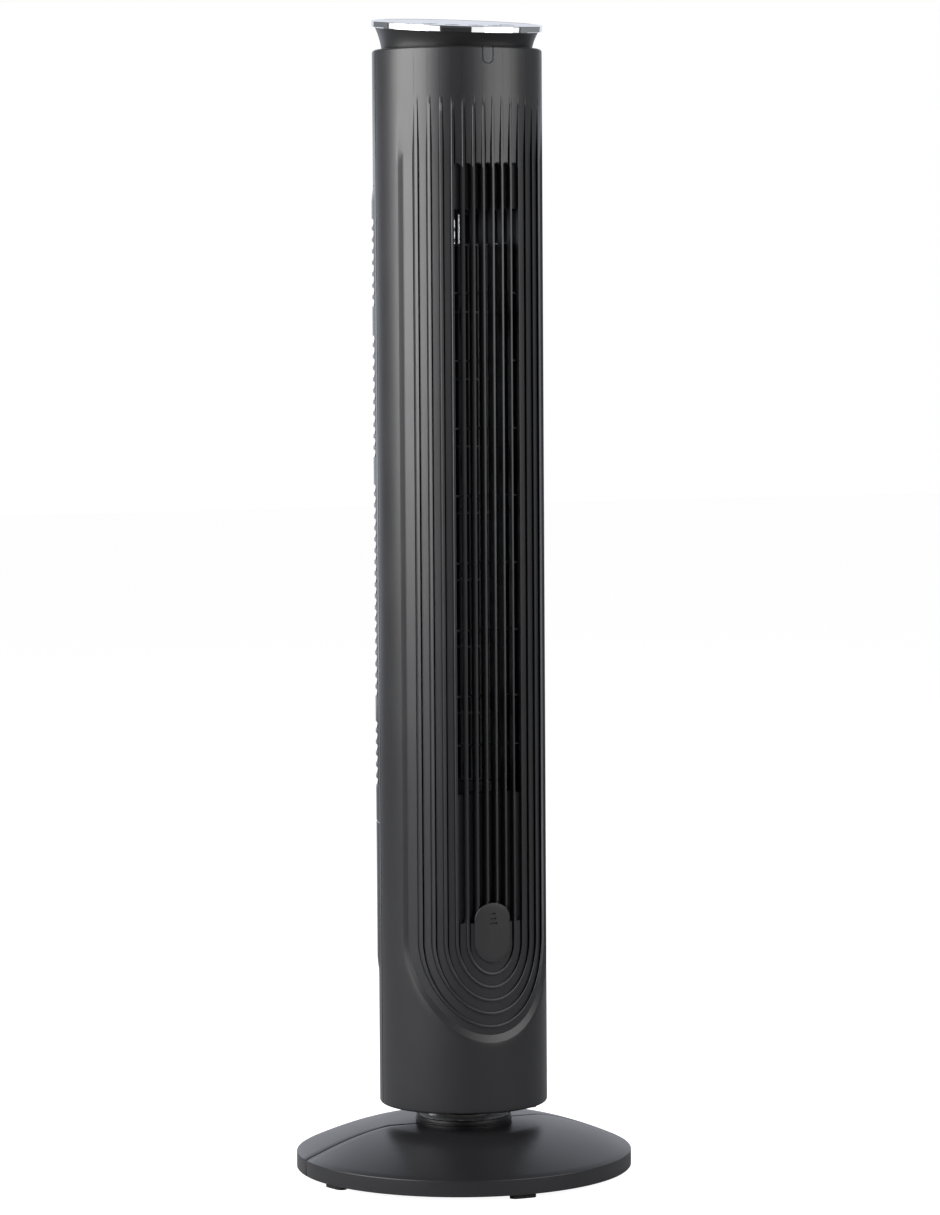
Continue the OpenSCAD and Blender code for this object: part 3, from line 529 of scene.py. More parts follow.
def front_shell():
    """The front half of the column with its slots, lines, grooves and the recess for the badge."""
    last = len(relief_columns(0)) - 1
    order = list(range(-last, last + 1))
    phi_edge = math.asin(SIDE_A / COLUMN_R)
    phi_seam = math.pi / 2 + math.asin(SEAM_Y / COLUMN_R)
    sides = [phi_edge + (phi_seam - phi_edge) * i / (SIDE_STEPS - 4) for i in range(1, SIDE_STEPS - 4)]
    sides += [phi_seam - back / COLUMN_R for back in (0.6, 0.45, 0.3, 0.15, 0.0)]
    rows = front_rows()
    kinds = [kind for kind, _ in rows]
    top_row, low_row = kinds.index("slot_top"), kinds.index("slot_bottom")
    verts, in_slots, index = [], [], {}

    def add(key, point, slotted):
        index[key] = len(verts)
        verts.append(point)
        in_slots.append(slotted)

    def place(row, signed):
        kind, value = rows[row]
        side = -1 if signed < 0 else 1
        gone = 1.0 if kind in ("lip", "high") else fading(value) if kind == "z" else 0.0
        a, depth, land = relief_columns(gone)[abs(signed)]
        if kind in ("lip", "high"):
            return shell_point(side * a, (kind, value), 0.0)
        if kind in ("slot_top", "slot_rim"):
            z = (slot_end(a, land, SLOT_Z1, 1) if land < 4 else SLOT_Z1 - 4) + value
            if kind == "slot_top" and land < 4:
                depth += 0.8 * min(1.0, depth / LAND_DEPTH)
        elif kind == "slot_bottom":
            z = slot_end(a, land, SLOT_Z0, -1) if land < 4 else SLOT_Z0 + 3.6
        elif kind == "pocket":
            z = max(pocket_top(a), SLOT_Z0 + 8) + value if a < POCKET_W else SLOT_Z0 + 8 + value
        else:
            z = value
        if row > kinds.index("pocket") and a < SHALLOW_A and (row > low_row or a < POCKET_W):
            depth = LAND_DEPTH + 0.05
        return shell_point(side * a, z, depth)

    for row in range(len(rows)):
        for signed in order:
            add((row, signed), place(row, signed), True)
        for i, phi in enumerate(sides):
            for side in (-1, 1):
                kind, value = rows[row]
                z_row = (kind, value) if kind in ("lip", "high") else None
                if z_row is None:
                    z_row = place(row, last)[2]
                add((row, side * (last + 1 + i)), shell_point(("phi", side * phi), z_row, 0.0), False)
    wide = [-(last + SIDE_STEPS - i) for i in range(SIDE_STEPS)] + order
    wide += [last + 1 + i for i in range(SIDE_STEPS)]

    columns = relief_columns(0)

    def in_slot(signed_a, signed_b, row):
        if not top_row <= row < low_row:
            return False
        a, b = sorted((abs(signed_a), abs(signed_b)))
        return b <= last and columns[a][2] == columns[b][2] <= 3

    faces = []
    for row in range(len(rows) - 1):
        for left, right in zip(wide, wide[1:]):
            if in_slot(left, right, row):
                continue
            faces.append((index[row, left], index[row, right], index[row + 1, right], index[row + 1, left]))

    # below RELIEF_Z0 the columns run round half-ellipses from the left arm to the right one
    base_row = len(rows) - 1
    for step in range(1, TURN_STEPS):
        theta = math.pi * step / TURN_STEPS
        for i in range(1, last + 1):
            a, depth, land = relief_columns(0, math.sin(theta))[i]
            if a < SHALLOW_A:
                depth = LAND_DEPTH + 0.05
            x, z = -a * math.cos(theta), RELIEF_Z0 - ELLIPSE_RATIO * a * math.sin(theta)
            add(("turn", step, i), shell_point(x, z, depth), False)

    def turn(step, i):
        if i == 0:
            return index[base_row, 0]
        if step == 0:
            return index[base_row, -i]
        if step == TURN_STEPS:
            return index[base_row, i]
        return index["turn", step, i]

    for step in range(TURN_STEPS):
        for i in range(last):
            if i == 0:
                faces.append((turn(step, 0), turn(step + 1, 1), turn(step, 1)))
            else:
                faces.append((turn(step, i), turn(step + 1, i), turn(step + 1, i + 1), turn(step, i + 1)))

    # plain cylinder from the outermost half-ellipse down to the lower edge
    drop = 10
    tail = [("low", i / 5) for i in range(1, 6)] + [("floor", 1.0)]

    def skirt(step, level):
        return turn(step, last) if level == 0 else index["skirt", step, level]

    for step in range(TURN_STEPS + 1):
        theta = math.pi * step / TURN_STEPS
        x = -SIDE_A * math.cos(theta)
        z_top = RELIEF_Z0 - ELLIPSE_RATIO * SIDE_A * math.sin(theta)
        for level in range(1, drop + len(tail) + 1):
            if level <= drop:
                z = z_top + (COLUMN_Z0 + CORNER - z_top) * level / drop
                add(("skirt", step, level), shell_point(x, z, 0.0), False)
            else:
                add(("skirt", step, level), shell_point(x, tail[level - drop - 1], 0.0), False)
    for step in range(TURN_STEPS):
        for level in range(drop + len(tail)):
            faces.append((skirt(step, level), skirt(step + 1, level), skirt(step + 1, level + 1),
                          skirt(step, level + 1)))

    # plain sides below RELIEF_Z0
    def side_point(side, i, level):
        if i == 0:
            return skirt(0 if side < 0 else TURN_STEPS, level)
        if level == 0:
            return index[base_row, side * (last + i)]
        return index["side", side, i, level]

    for side in (-1, 1):
        for i, phi in enumerate(sides, 1):
            for level in range(1, drop + len(tail) + 1):
                z_row = RELIEF_Z0 + (COLUMN_Z0 + CORNER - RELIEF_Z0) * level / drop
                if level > drop:
                    z_row = tail[level - drop - 1]
                add(("side", side, i, level), shell_point(("phi", side * phi), z_row, 0.0), False)
        for i in range(SIDE_STEPS):
            for level in range(drop + len(tail)):
                faces.append((side_point(side, i, level), side_point(side, i + 1, level),
                              side_point(side, i + 1, level + 1), side_point(side, i, level + 1)))
    inner = [inner_point(p, s) for p, s in zip(verts, in_slots)]
    solid = thicken(verts, inner, faces)
    return make_piece("front_shell_moulding", *solid, SHELL_BLACK, "column", "black_shell", ["front_shell"],
                      sharp=28.0)


# ---- base --------------------------------------------------------------------------------

RIM_H = 14.5                # height of the base's upright rim
DOME_FLAT_R = 70.0          # the dome is level inside this radius
DOME_POWER = 1.45           # how fast it falls outside it
NECK_R = 42.5


def dome_profile(shift):
    """The dome from its rim up to its flat middle, shifted inwards and down for the wall's inside."""
    rim_top = RIM_Z0 + RIM_H
    points = []
    steps = 28
    for i in range(steps + 1):
        r = BASE_R - shift + (DOME_FLAT_R - BASE_R + shift) * i / steps
        fall = ((r - DOME_FLAT_R) / (BASE_R - DOME_FLAT_R)) ** DOME_POWER
        points.append((r, BASE_TOP_Z - (BASE_TOP_Z - rim_top) * fall - shift))
    return points


def base_half(name, node, start):
    """One half of the domed base, from an azimuth round half a turn."""
    outer = [(BASE_R - 0.6, RIM_Z0), (BASE_R, RIM_Z0 + 0.6)] + dome_profile(0)
    outer[2:3] = arc(BASE_R - 0.9, RIM_Z0 + RIM_H - 0.9, 0.9, 0, 75, 4)
    outer += [(NECK_R + 0.6, BASE_TOP_Z), (NECK_R + 0.2, BASE_TOP_Z - 0.4)]
    inner = [(NECK_R + 0.2, BASE_TOP_Z - WALL)] + dome_profile(WALL)[::-1] + [(BASE_R - WALL, RIM_Z0)]
    steps, size = 150, len(outer + inner)
    verts, faces = revolve(outer + inner, steps, start, start + 180)
    # the edges on the joint between the halves are rounded, and keep one width all along it
    rounded = ((0.15, 1.3), (0.4, 0.7), (0.8, 0.2), (1.2, 0.0))
    front = -1 if start else 1
    for i, (x, y, z) in enumerate(verts):
        edge = min(i // size, steps - i // size)
        if edge < len(rounded):
            gap, dip = rounded[edge]
            r = math.hypot(x, y)
            if i % size >= len(outer):
                dip = 0.0
            elif z < RIM_Z0 + RIM_H - 1.0:
                r -= dip
                dip = 0.0
            verts[i] = (math.copysign(math.sqrt(r * r - gap * gap), x), front * gap, z - dip)
    return make_piece(name, verts, faces, BASE_BLACK, "base", "black_base", [node], sharp=40.0)


def neck_collar():
    """The dark collar between the base and the column, with its bead."""
    outline = [(38.5, 30), (60, 30), (60, 33), (NECK_R, 33), (NECK_R, 45.2)]
    outline += arc(NECK_R, 46.3, 1.0, -80, 80, 8)
    outline += [(NECK_R, 49.8), (NECK_R - 0.6, 50.5), (40.9, 50.5), (40.3, 50.0), (40.3, 49), (13, 49)]
    outline += [(13, 81.5), (11, 81.5), (11, 96), (8.5, 96), (8.5, 45), (38.5, 45)]
    verts, faces = revolve(outline, 160)
    return make_piece("swivel_collar", verts, faces, NECK_BLACK, "base", "black_base", ["neck"], sharp=40.0)


# ---- rear shell and grille ---------------------------------------------------------------

SCREW_X = 61.0
SCREW_ZS = (125.0, 930.0)
CORD_Z = 130.0
GRILLE_R = COLUMN_R + 1.3
GRILLE_A0 = 8.0             # azimuths of the grille's sides, from +X
GRILLE_INNER_R = 70.5       # inside of its ribs
VENT_INNER_R = 73.8         # inside of its thin wall between the vents
BAY_COUNT = 7               # columns of vents
BAY_A = 21.3
RIB_A = 1.6
VENT_PITCH = 10.1
VENT_H = 6.5
VENT_GROUPS = ((850.0, 8), (747.0, 11), (615.0, 19), (404.0, 6))   # top edge and number of rows
RAMP_H = 15.0               # the grille slopes to the column over this height at its ends
SIDE_RAMP_A = 9.0           # and over this angle at its sides
NOTCH_Z = 315.0             # small groove across the grille


def boss_on_wall(x, z, y0, wall_r):
    """A screw boss along Y from the seam out to the wall, open along its axis."""
    verts, faces = [], []
    size = 32
    for radius in (6.0, 4.25):
        for i in range(size):
            angle = math.tau * i / size
            px, pz = x + radius * math.cos(angle), z + radius * math.sin(angle)
            verts += [(px, y0, pz), (px, math.sqrt(wall_r ** 2 - px ** 2), pz)]
    for i in range(size):
        n = (i + 1) % size
        for a, b in ((2 * i, 2 * n), (2 * (n + size), 2 * (i + size))):
            faces.append((a, b, b + 1, a + 1))
        faces.append((2 * i, 2 * n, 2 * (n + size), 2 * (i + size)))
        faces.append((2 * i + 1, 2 * (i + size) + 1, 2 * (n + size) + 1, 2 * n + 1))
    return verts, faces


def rear_shell():
    """The rear half of the column, with the grille's window, screw holes, bosses and cord hole."""
    seam = math.degrees(math.asin((SEAM_Y + 0.2) / COLUMN_R))
    g0, g1 = GRILLE_LOW[2] - 0.2, GRILLE_HIGH[2] + 0.2
    per_mm = math.degrees(1 / COLUMN_R)
    columns = [seam + back * per_mm for back in (0.0, 0.4, 0.78, 0.8, 0.9)] + [(seam + GRILLE_A0) / 2]
    columns += [GRILLE_A0 + (180 - 2 * GRILLE_A0) * i / 72 for i in range(73)]
    columns += [180 - a for a in columns[5::-1]]
    heights = [COLUMN_Z0 + CORNER, 100, 140, g0, g0 + 60, 400, 600, 800, g1, 910, 960, COLUMN_Z1 - CORNER]
    rows = [(COLUMN_R - WALL, COLUMN_Z0)]
    rows += arc(COLUMN_R - CORNER, COLUMN_Z0 + CORNER, CORNER, -90, -18, 4)
    rows += [(COLUMN_R, z) for z in heights]
    rows += arc(COLUMN_R - CORNER, COLUMN_Z1 - CORNER, CORNER, 18, 90, 4)
    rows += [(NECK_HOLE_R, COLUMN_Z1)]

    def dip(a):
        """The groove between the shells, cut into the rear one's edge."""
        return 1.3 if min(a, 180 - a) - seam < 0.79 * per_mm else 0.0

    outer = [polar(r - (dip(a) if r > COLUMN_R - WALL else 0.0), a, z) for r, z in rows for a in columns]
    inner = []
    for r, z in rows:
        for a in columns:
            wall_r = COLUMN_R - WALL - (0.2 if z < COLUMN_Z0 + 0.1 else 0.0)
            inner_r = NECK_HOLE_R if r == NECK_HOLE_R else wall_r
            inner.append(polar(inner_r, a, min(z, COLUMN_Z1 - WALL)))
    faces, width = [], len(columns)
    for j in range(len(rows) - 1):
        for i in range(width - 1):
            in_window = GRILLE_A0 <= columns[i] and columns[i + 1] <= 180 - GRILLE_A0
            if in_window and rows[j][1] >= g0 and rows[j + 1][1] <= g1:
                continue
            faces.append((j * width + i, j * width + i + 1, (j + 1) * width + i + 1, (j + 1) * width + i))
    shell = thicken(outer, inner, faces)
    piece = make_piece("rear_shell_moulding", *shell, REAR_BLACK, "column", "black_shell", ["rear_shell"],
                       sharp=28)
    for side in (-1, 1):
        for z in SCREW_ZS:
            drill(piece, side * SCREW_X, z, 4.2, 20, 90)
    drill(piece, 0, CORD_Z, 8.1, 60, 90)
    for side in (-1, 1):
        for z in SCREW_ZS:
            boss = boss_on_wall(side * SCREW_X, z, SEAM_Y + 0.2, COLUMN_R - 1)
            make_piece(f"screw_boss_{'left' if side < 0 else 'right'}_{z:.0f}", *boss, REAR_BLACK, "column",
                       "black_shell")


def vent_outline(a0, a1, z0, z1, grow):
    """A rounded vent in azimuth and height, grown outwards by a distance in millimetres."""
    per_mm = math.degrees(1 / GRILLE_R)
    corner = 2.4 + grow
    left, right, low, high = a0 - grow * per_mm, a1 + grow * per_mm, z0 - grow, z1 + grow
    points = []
    corner_a = corner * per_mm
    for ca, cz, start in ((right - corner_a, high - corner, 0), (left + corner_a, high - corner, 90),
                          (left + corner_a, low + corner, 180), (right - corner_a, low + corner, 270)):
        for i in range(5):
            turn = math.radians(start + 22.5 * i)
            points.append((ca + corner_a * math.cos(turn), cz + corner * math.sin(turn)))
        if start in (0, 180):
            span = (right - left) - 2 * corner_a
            step = -1 if start == 0 else 1
            points += [(points[-1][0] + step * span * i / 5, points[-1][1]) for i in range(1, 5)]
    return points


def grille_radius(a, z):
    """Outer radius of the grille, which slopes down to the column at both ends and both sides."""
    low, high = GRILLE_LOW[2], GRILLE_HIGH[2]
    rise = smooth(min(z - low, high - z) / RAMP_H)
    notch = max(0.0, 1 - abs(z - NOTCH_Z) / 1.2)
    aside = smooth((min(a, 180 - a) - GRILLE_A0) / SIDE_RAMP_A)
    return COLUMN_R + (GRILLE_R - COLUMN_R) * rise * aside - 0.9 * notch


def rear_grille():
    """Vents between upright ribs. The outer sheet is made of cells, one for each vent."""
    low, high = GRILLE_LOW[2], GRILLE_HIGH[2]
    side = GRILLE_A0 + 0.2
    first = 90 - (BAY_COUNT * BAY_A + (BAY_COUNT - 1) * RIB_A) / 2
    bays = [(first + i * (BAY_A + RIB_A), first + i * (BAY_A + RIB_A) + BAY_A) for i in range(BAY_COUNT)]
    tops = sorted(top - row * VENT_PITCH for top, count in VENT_GROUPS for row in range(count))
    edges = [low + RAMP_H * i / 6 for i in range(7)]
    edges += [NOTCH_Z - 1.2, NOTCH_Z, NOTCH_Z + 1.2]
    edges += [high - RAMP_H * i / 6 for i in range(6, -1, -1)]
    half_gap = (VENT_PITCH - VENT_H) / 2
    for top in tops:
        edges += [top + half_gap, top - VENT_H - half_gap]
    edges = sorted({round(z, 3) for z in edges})
    heights = {round(top - VENT_H - half_gap, 3): top for top in tops}
    outer, inner, faces, index = [], [], [], {}

    def point(a, z, r, inner_r):
        key = (round(a, 4), round(z, 3), round(r, 3))
        if key not in index:
            index[key] = len(outer)
            outer.append(polar(r, a, z))
            inner.append(polar(inner_r, a, z))
        return index[key]

    def inner_radius(a, z):
        if not low + 4 <= z <= high - 4:
            return GRILLE_INNER_R
        return VENT_INNER_R if any(a0 + 0.02 < a < a1 - 0.02 for a0, a1 in bays) else GRILLE_INNER_R

    def strip(a_list, z0, z1):
        for a, b in zip(a_list, a_list[1:]):
            corners = [(a, z0), (b, z0), (b, z1), (a, z1)]
            faces.append(tuple(point(x, z, grille_radius(x, z), inner_radius(x, z)) for x, z in corners))

    steps = 9
    for z0, z1 in zip(edges, edges[1:]):
        previous = side
        for a0, a1 in bays:
            if a0 - previous > 0.01:
                strip([previous, previous + (a0 - previous) / 2, a0], z0, z1)
            across = [a0 + (a1 - a0) * i / steps for i in range(steps + 1)]
            previous = a1
            if z0 not in heights:
                strip(across, z0, z1)
                continue
            top = heights[z0]
            rim = vent_outline(a0 + 0.5, a1 - 0.5, top - VENT_H, top, 0.45)
            hole = vent_outline(a0 + 0.5, a1 - 0.5, top - VENT_H, top, 0.0)
            rim_ids = [point(a, z, grille_radius(a, z), VENT_INNER_R) for a, z in rim]
            hole_ids = [point(a, z, grille_radius(a, z) - 0.45, VENT_INNER_R) for a, z in hole]
            middle = (z0 + z1) / 2
            box = [(a1, middle), (a1, z1)] + [(a, z1) for a in across[-2:0:-1]]
            box += [(a0, z1), (a0, middle), (a0, z0)] + [(a, z0) for a in across[1:-1]] + [(a1, z0)]
            box_ids = [point(a, z, grille_radius(a, z), inner_radius(a, z)) for a, z in box]
            bridge(faces, box, box_ids, rim, rim_ids, (a0 + a1) / 2, middle)
            count = len(rim)
            for i in range(count):
                n = (i + 1) % count
                faces.append((rim_ids[i], rim_ids[n], hole_ids[n], hole_ids[i]))
        strip([previous, (previous + 180 - side) / 2, 180 - side], z0, z1)
    solid = thicken(outer, inner, faces)
    make_piece("rear_grille_moulding", *solid, REAR_BLACK, "column", "black_shell", ["rear_grille"],
               sharp=35)


def bridge(faces, box, box_ids, rim, rim_ids, mid_a, mid_z):
    """Joins two rings of points round the same middle with triangles and quads."""
    def bearing(point):
        return math.atan2((point[1] - mid_z) / VENT_H, (point[0] - mid_a) / BAY_A) % math.tau

    marks = sorted([(bearing(p), 0, i) for p, i in zip(box, box_ids)])
    holes = sorted([(bearing(p), 1, i) for p, i in zip(rim, rim_ids)])
    events = sorted(marks + holes)
    box_now, rim_now = marks[-1][2], holes[-1][2]
    for _, kind, i in events:
        if kind == 0:
            faces.append((box_now, i, rim_now))
            box_now = i
        else:
            faces.append((rim_now, box_now, i))
            rim_now = i


# ---- cap ---------------------------------------------------------------------------------

CAP_TILT = math.radians(6.0)
CAP_Z = 1017.8
RING_R = 75.5
RING_H = 4.3
IR_HALF = 4.3               # half-width of the receiver's window
IR_DROP = 15.0              # its depth below the column's top
IR_GAP = 0.7                # gap round it
IR_BACK_Y = -71.0           # how far in the shell is cut for it


def on_cap(points):
    """Points of the tilted cap's own frame in the CAD frame."""
    c, s = math.cos(CAP_TILT), math.sin(CAP_TILT)
    return [(x, y * c - z * s, CAP_Z + y * s + z * c) for x, y, z in points]


def cap_neck():
    """A flared collar between the column's round opening and the tilted ring."""
    steps, levels = 144, 14
    outline = []
    for i in range(levels + 1):
        t = i / levels
        bow = 0.9 * math.sin(math.pi * t)
        outline.append((66.3 + (73 - 66.3) * t - bow, t, 0.0))
    inner = [(r - 3.0, t, 0.0) for r, t, _ in reversed(outline)]
    foot = [(62, 0, -14), (66.3, 0, -14)]
    ledge = [(66.3, 0, -6.6), (71.5, 0, -6.6), (71.5, 0, -3.2), (66.3, 0, -3.2)]
    section = foot + ledge + outline + inner + [(62, 0, -1)]
    verts, faces = [], []
    for i in range(steps):
        angle = math.tau * i / steps
        for r, t, drop in section:
            flat = Vector((r * math.cos(angle), r * math.sin(angle), COLUMN_Z1 + drop))
            leaning = Vector(on_cap([(r * math.cos(angle), r * math.sin(angle), 0.0)])[0])
            verts.append(tuple(flat.lerp(leaning, t)))
    size = len(section)
    for i in range(steps):
        a, b = i * size, ((i + 1) % steps) * size
        for k in range(size):
            n = (k + 1) % size
            faces.append((a + k, b + k, b + n, a + n))
    make_piece("cap_collar", verts, faces, NECK_BLACK, "column", "black_shell", ["cap_neck"], sharp=35)


def chrome_ring():
    """The bright ring round the control panel."""
    outline = [(71.6, 0), (73.3, 0), (73.3, -1.2), (75.1, -1.2), (RING_R, -0.8), (RING_R, RING_H - 0.9)]
    outline += arc(RING_R - 0.8, RING_H - 0.8, 0.8, 12, 90, 6) + [(71.9, RING_H), (71.6, RING_H - 0.3)]
    verts, faces = revolve(outline, 240)
    make_piece("chrome_trim_ring", on_cap(verts), faces, CHROME, "column", "chrome_trim", ["chrome_ring"],
               sharp=35)


def ir_outline(half, z_low, top):
    """A U-shaped tab outline."""
    return [(half, top)] + arc(0, z_low + half, half, 0, -180, 20) + [(-half, top)]


def ir_window():
    """The receiver's window: a U-shaped tab flush with the shell, with a fine gap round it."""
    verts, faces = [], []
    levels = 26
    z0, z1 = COLUMN_Z1 - IR_DROP, COLUMN_Z1
    rows = []
    for j in range(levels + 1):
        z = z0 + 0.02 + (z1 - z0 - 0.02) * (j / levels) ** 1.4
        half = IR_HALF if z > z0 + IR_HALF else math.sqrt(max(0.0, IR_HALF ** 2 - (z0 + IR_HALF - z) ** 2))
        drop = max(0.0, z - (COLUMN_Z1 - CORNER))
        radius = COLUMN_R - CORNER + math.sqrt(max(0.0, CORNER ** 2 - drop ** 2))
        rows.append([(half * u, -math.sqrt(radius ** 2 - (half * u) ** 2), z) for u in
                     (-1, -0.94, -0.6, -0.3, 0, 0.3, 0.6, 0.94, 1)])
    outer = [p for row in rows for p in row]
    inner = []
    for x, y, z in outer:
        reach = math.hypot(x, y)
        inner.append((x * 72.1 / reach, y * 72.1 / reach, min(z, COLUMN_Z1 - 0.05)))
    width = 9
    for j in range(levels):
        for i in range(width - 1):
            faces.append((j * width + i, j * width + i + 1, (j + 1) * width + i + 1, (j + 1) * width + i))
    solid = thicken(outer, inner, faces)
    make_piece("receiver_window", *solid, IR_FILTER, "column", "ir_red", ["ir_window"], sharp=40,
               bevel=0.12)


def badge():
    """The proud tab between the slots, with three plain bars engraved in it."""
    outline = []
    for i in range(81):
        turn = math.pi * i / 40
        upper = turn <= math.pi
        centre = RELIEF_Z0 + (BADGE_RISE if upper else 0)
        ratio = BADGE_RATIO if upper else BADGE_LOW_RATIO
        outline.append((BADGE_W * math.cos(turn), centre + BADGE_W * ratio * math.sin(turn)))
    middle = RELIEF_Z0 + 6
    rings = []
    edge = [(0.0, -1.7), (0.0, 0.0), (0.15, 0.28)]
    for shrink, proud in edge + [(inwards, BADGE_PROUD) for inwards in (0.5, 3.0, 7.0, 11.0, 14.5)]:
        scale = 1 - shrink / BADGE_W
        rings.append([(x * scale, middle + (z - middle) * scale, proud) for x, z in outline])
    size = len(outline)
    verts = [(x, -math.sqrt((COLUMN_R + proud) ** 2 - x ** 2), z) for ring in rings for x, z, proud in ring]
    faces = []
    for j in range(len(rings) - 1):
        for k in range(size):
            n = (k + 1) % size
            faces.append((j * size + k, j * size + n, (j + 1) * size + n, (j + 1) * size + k))
    faces.append(tuple((len(rings) - 1) * size + k for k in range(size)))
    faces.append(tuple(reversed(range(size))))
    piece = make_piece("badge_tab", verts, faces, BADGE_BLACK, "column", "black_shell", ["badge"], sharp=30)
    for i in range(3):
        half, z = 3.6 - i * 0.8, BAR_Z0 + i * BAR_PITCH
        bar = [(half, z), (half, z + BAR_H), (-half, z + BAR_H), (-half, z)]
        cut_shape(piece, *extrude_outline(bar, -OUTSIDE_R, -COLUMN_R + BAR_DEPTH))


shell = front_shell()
pocket = ir_outline(IR_HALF + IR_GAP, COLUMN_Z1 - IR_DROP - IR_GAP, COLUMN_Z1 + 1)
cut_shape(shell, *extrude_outline(pocket, -OUTSIDE_R, IR_BACK_Y), solver="FAST")
base_half("base_front_moulding", "base_front", 180)
base_half("base_rear_moulding", "base_rear", 0)
neck_collar()
rear_shell()
rear_grille()
cap_neck()
chrome_ring()
ir_window()
badge()

CAD_MATERIALS = {
    "gloss_panel": PANEL_BLACK, "black_shell": REAR_BLACK, "black_base": NECK_BLACK,
    "inner_plastic": INNER_BLACK, "chrome_trim": CHROME, "smoked_window": DISPLAY, "ir_red": IR_FILTER,
    "rubber": RUBBER, "pom_white": ACETAL, "zinc_steel": ZINC, "shaft_steel": SHAFT,
    "motor_steel": LAMINATION, "bronze": BRONZE, "copper_wire": COPPER, "circuit_board": BOARD,
    "component_plastic": COMPONENT, "capacitor_case": CASE_GREY, "lead_insulation": LEAD_RED,
    "ribbon_grey": RIBBON,
}

# nodes that differ from the rest of their slot
NODE_MATERIALS = {"impeller_drum": DRUM_GREY, "thrust_plate": PALE_STEEL}
for use in ("power", "speed", "mode", "timer", "oscillate"):
    NODE_MATERIALS[f"button_{use}"] = BUTTON_BLACK


def dress_cad_nodes():
    """Gives every node that keeps its CAD mesh a material."""
    slots = {part["node"]: part["material_slot"] for part in frame["record"]["subparts"]}
    for node, piece in frame["nodes"].items():
        material = NODE_MATERIALS.get(node, CAD_MATERIALS[slots[node]])
        if not piece.material_slots:
            piece.data.materials.append(material)
        for place in piece.material_slots:
            place.material = material


dress_cad_nodes()

# ---- stage, light and camera -------------------------------------------------------------

VIEW_AZIMUTH = math.radians(21.3)
ROOM_LEVEL = 0.08           # light that the white room itself gives
COOL = (0.9, 0.95, 1.0)
COOLER = (0.86, 0.90, 1.0)


def around(degrees, distance, height):
    """A place round the fan; 0 degrees is the camera's side and positive is to the camera's right."""
    angle = -VIEW_AZIMUTH + math.radians(degrees)
    return Vector((math.sin(angle) * distance, -math.cos(angle) * distance, height))


def softbox(name, degrees, half_angle, low, high, radiance, distance=1.8, color=(1, 1, 1)):
    """A panel round the fan that faces it. It covers half_angle each way and low to high in metres."""
    width = 2 * distance * math.tan(math.radians(half_angle))
    data = bpy.data.lights.new(name, "AREA")
    data.shape = "RECTANGLE"
    data.size = width
    data.size_y = high - low
    data.energy = radiance * math.pi * width * (high - low)
    data.color = color
    lamp = bpy.data.objects.new(name, data)
    bpy.context.scene.collection.objects.link(lamp)
    lamp.location = around(degrees, distance, (low + high) / 2)
    inwards = Vector((-lamp.location.x, -lamp.location.y, 0))
    lamp.rotation_euler = inwards.to_track_quat("-Z", "Y").to_euler()
    lamp.visible_camera = False


def add_camera_white(tree, base_shader, strength):
    """Adds white that only the camera sees, so that the ground stays white under soft light."""
    nodes, links = tree.nodes, tree.links
    path = nodes.new("ShaderNodeLightPath")
    scale = nodes.new("ShaderNodeMath")
    scale.operation = "MULTIPLY"
    scale.inputs[1].default_value = strength
    links.new(path.outputs["Is Camera Ray"], scale.inputs[0])
    base_shader.inputs["Emission Color"].default_value = (1, 1, 1, 1)
    links.new(scale.outputs["Value"], base_shader.inputs["Emission Strength"])


def stage_material():
    """Pale floor paint."""
    mat, tree, shader = new_material("studio_white", (0.38, 0.38, 0.39), 0.9)
    tone = object_noise(tree, 2.0, 2.0)
    color = mix_colors(tree, tone, (0.37, 0.37, 0.38), (0.39, 0.39, 0.40))
    tree.links.new(color, shader.inputs["Base Color"])
    add_camera_white(tree, shader, 0.95)
    return mat


def stage_floor():
    """A large flat pale floor."""
    reach = 12.0
    mesh = bpy.data.meshes.new("studio_floor")
    mesh.from_pydata([(-reach, -reach, 0), (reach, -reach, 0), (reach, reach, 0), (-reach, reach, 0)],
                     [], [(0, 1, 2, 3)])
    mesh.materials.append(stage_material())
    floor = bpy.data.objects.new("studio_floor", mesh)
    bpy.context.scene.collection.objects.link(floor)


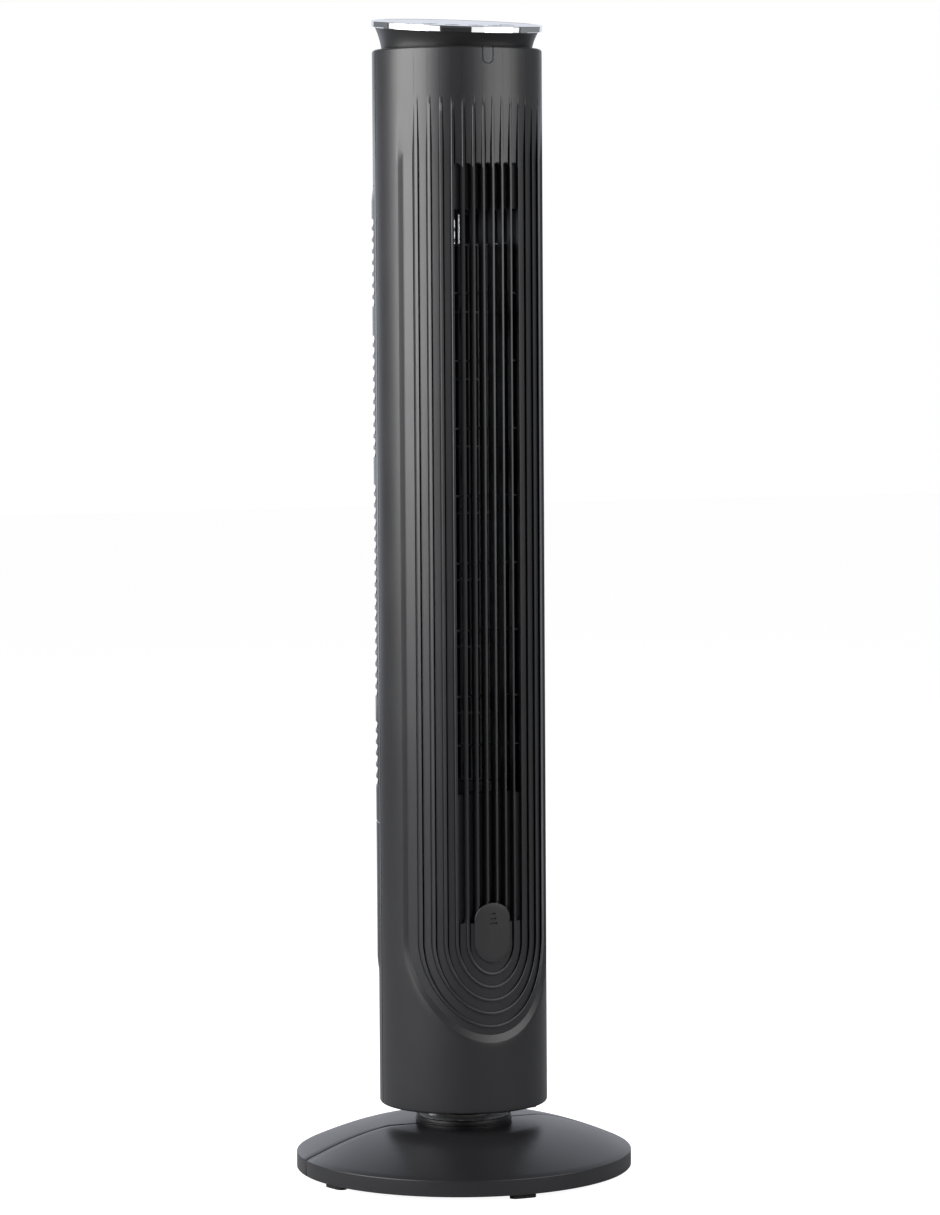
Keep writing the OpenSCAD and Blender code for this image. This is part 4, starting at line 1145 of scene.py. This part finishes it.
def camera():
    """The camera at the photograph's viewing angle."""
    data = bpy.data.cameras.new("photo_view")
    cam = bpy.data.objects.new("photo_view", data)
    bpy.context.scene.collection.objects.link(cam)
    distance, height, pitch, roll, aside = 3.885, 0.7768, 4.005, -0.3676, 0.00855
    focal_px, image_h = 4372.6, 1215
    data.sensor_fit = "VERTICAL"
    data.sensor_height = 36.0
    data.lens = 36.0 * focal_px / image_h
    data.clip_end = 60
    right = Vector((math.cos(VIEW_AZIMUTH), -math.sin(VIEW_AZIMUTH), 0))
    forward = Vector((math.sin(VIEW_AZIMUTH), math.cos(VIEW_AZIMUTH), 0))
    up = Vector((0, 0, 1))
    p, r = math.radians(pitch), math.radians(roll)
    look = forward * math.cos(p) - up * math.sin(p)
    top = up * math.cos(p) + forward * math.sin(p)
    side = right * math.cos(r) + top * math.sin(r)
    top = -right * math.sin(r) + top * math.cos(r)
    cam.location = -forward * distance + up * height + right * aside
    cam.rotation_euler = Matrix((side, top, -look)).transposed().to_euler()
    bpy.context.scene.camera = cam


def lights():
    """Tall softboxes at both sides, a low panel behind and a dim white room."""
    world = bpy.data.worlds.new("studio")
    world.use_nodes = True
    tree = world.node_tree
    background = tree.nodes["Background"]
    path = tree.nodes.new("ShaderNodeLightPath")
    level = tree.nodes.new("ShaderNodeMapRange")
    level.inputs["To Min"].default_value = ROOM_LEVEL
    level.inputs["To Max"].default_value = 1.0
    background.inputs["Color"].default_value = (1, 1, 1, 1)
    tree.links.new(path.outputs["Is Camera Ray"], level.inputs["Value"])
    tree.links.new(level.outputs["Result"], background.inputs["Strength"])
    bpy.context.scene.world = world
    softbox("left_box", -65, 27, 0.46, 2.2, 6.6)
    softbox("left_edge", -62, 40, 0.45, 2.3, 1.4, distance=1.9)
    softbox("right_box", 59, 21, 0.5, 2.1, 2.6)
    softbox("right_edge", 56, 36, 0.4, 2.2, 1.1, distance=1.9)
    softbox("back_panel", 180, 32, 0.02, 1.9, 0.85, distance=1.3, color=COOLER)
    softbox("left_rim", -146, 12, 0.3, 1.0, 0.9, distance=1.5, color=(0.85, 0.90, 1.0))
    softbox("left_back", -126, 21, 0.02, 2.3, 0.16, distance=2.2, color=COOL)
    softbox("right_back", 121, 26, 0.02, 2.3, 0.2, distance=2.2, color=COOL)


camera()
lights()
stage_floor()
bpy.context.scene.view_settings.view_transform = "Standard"
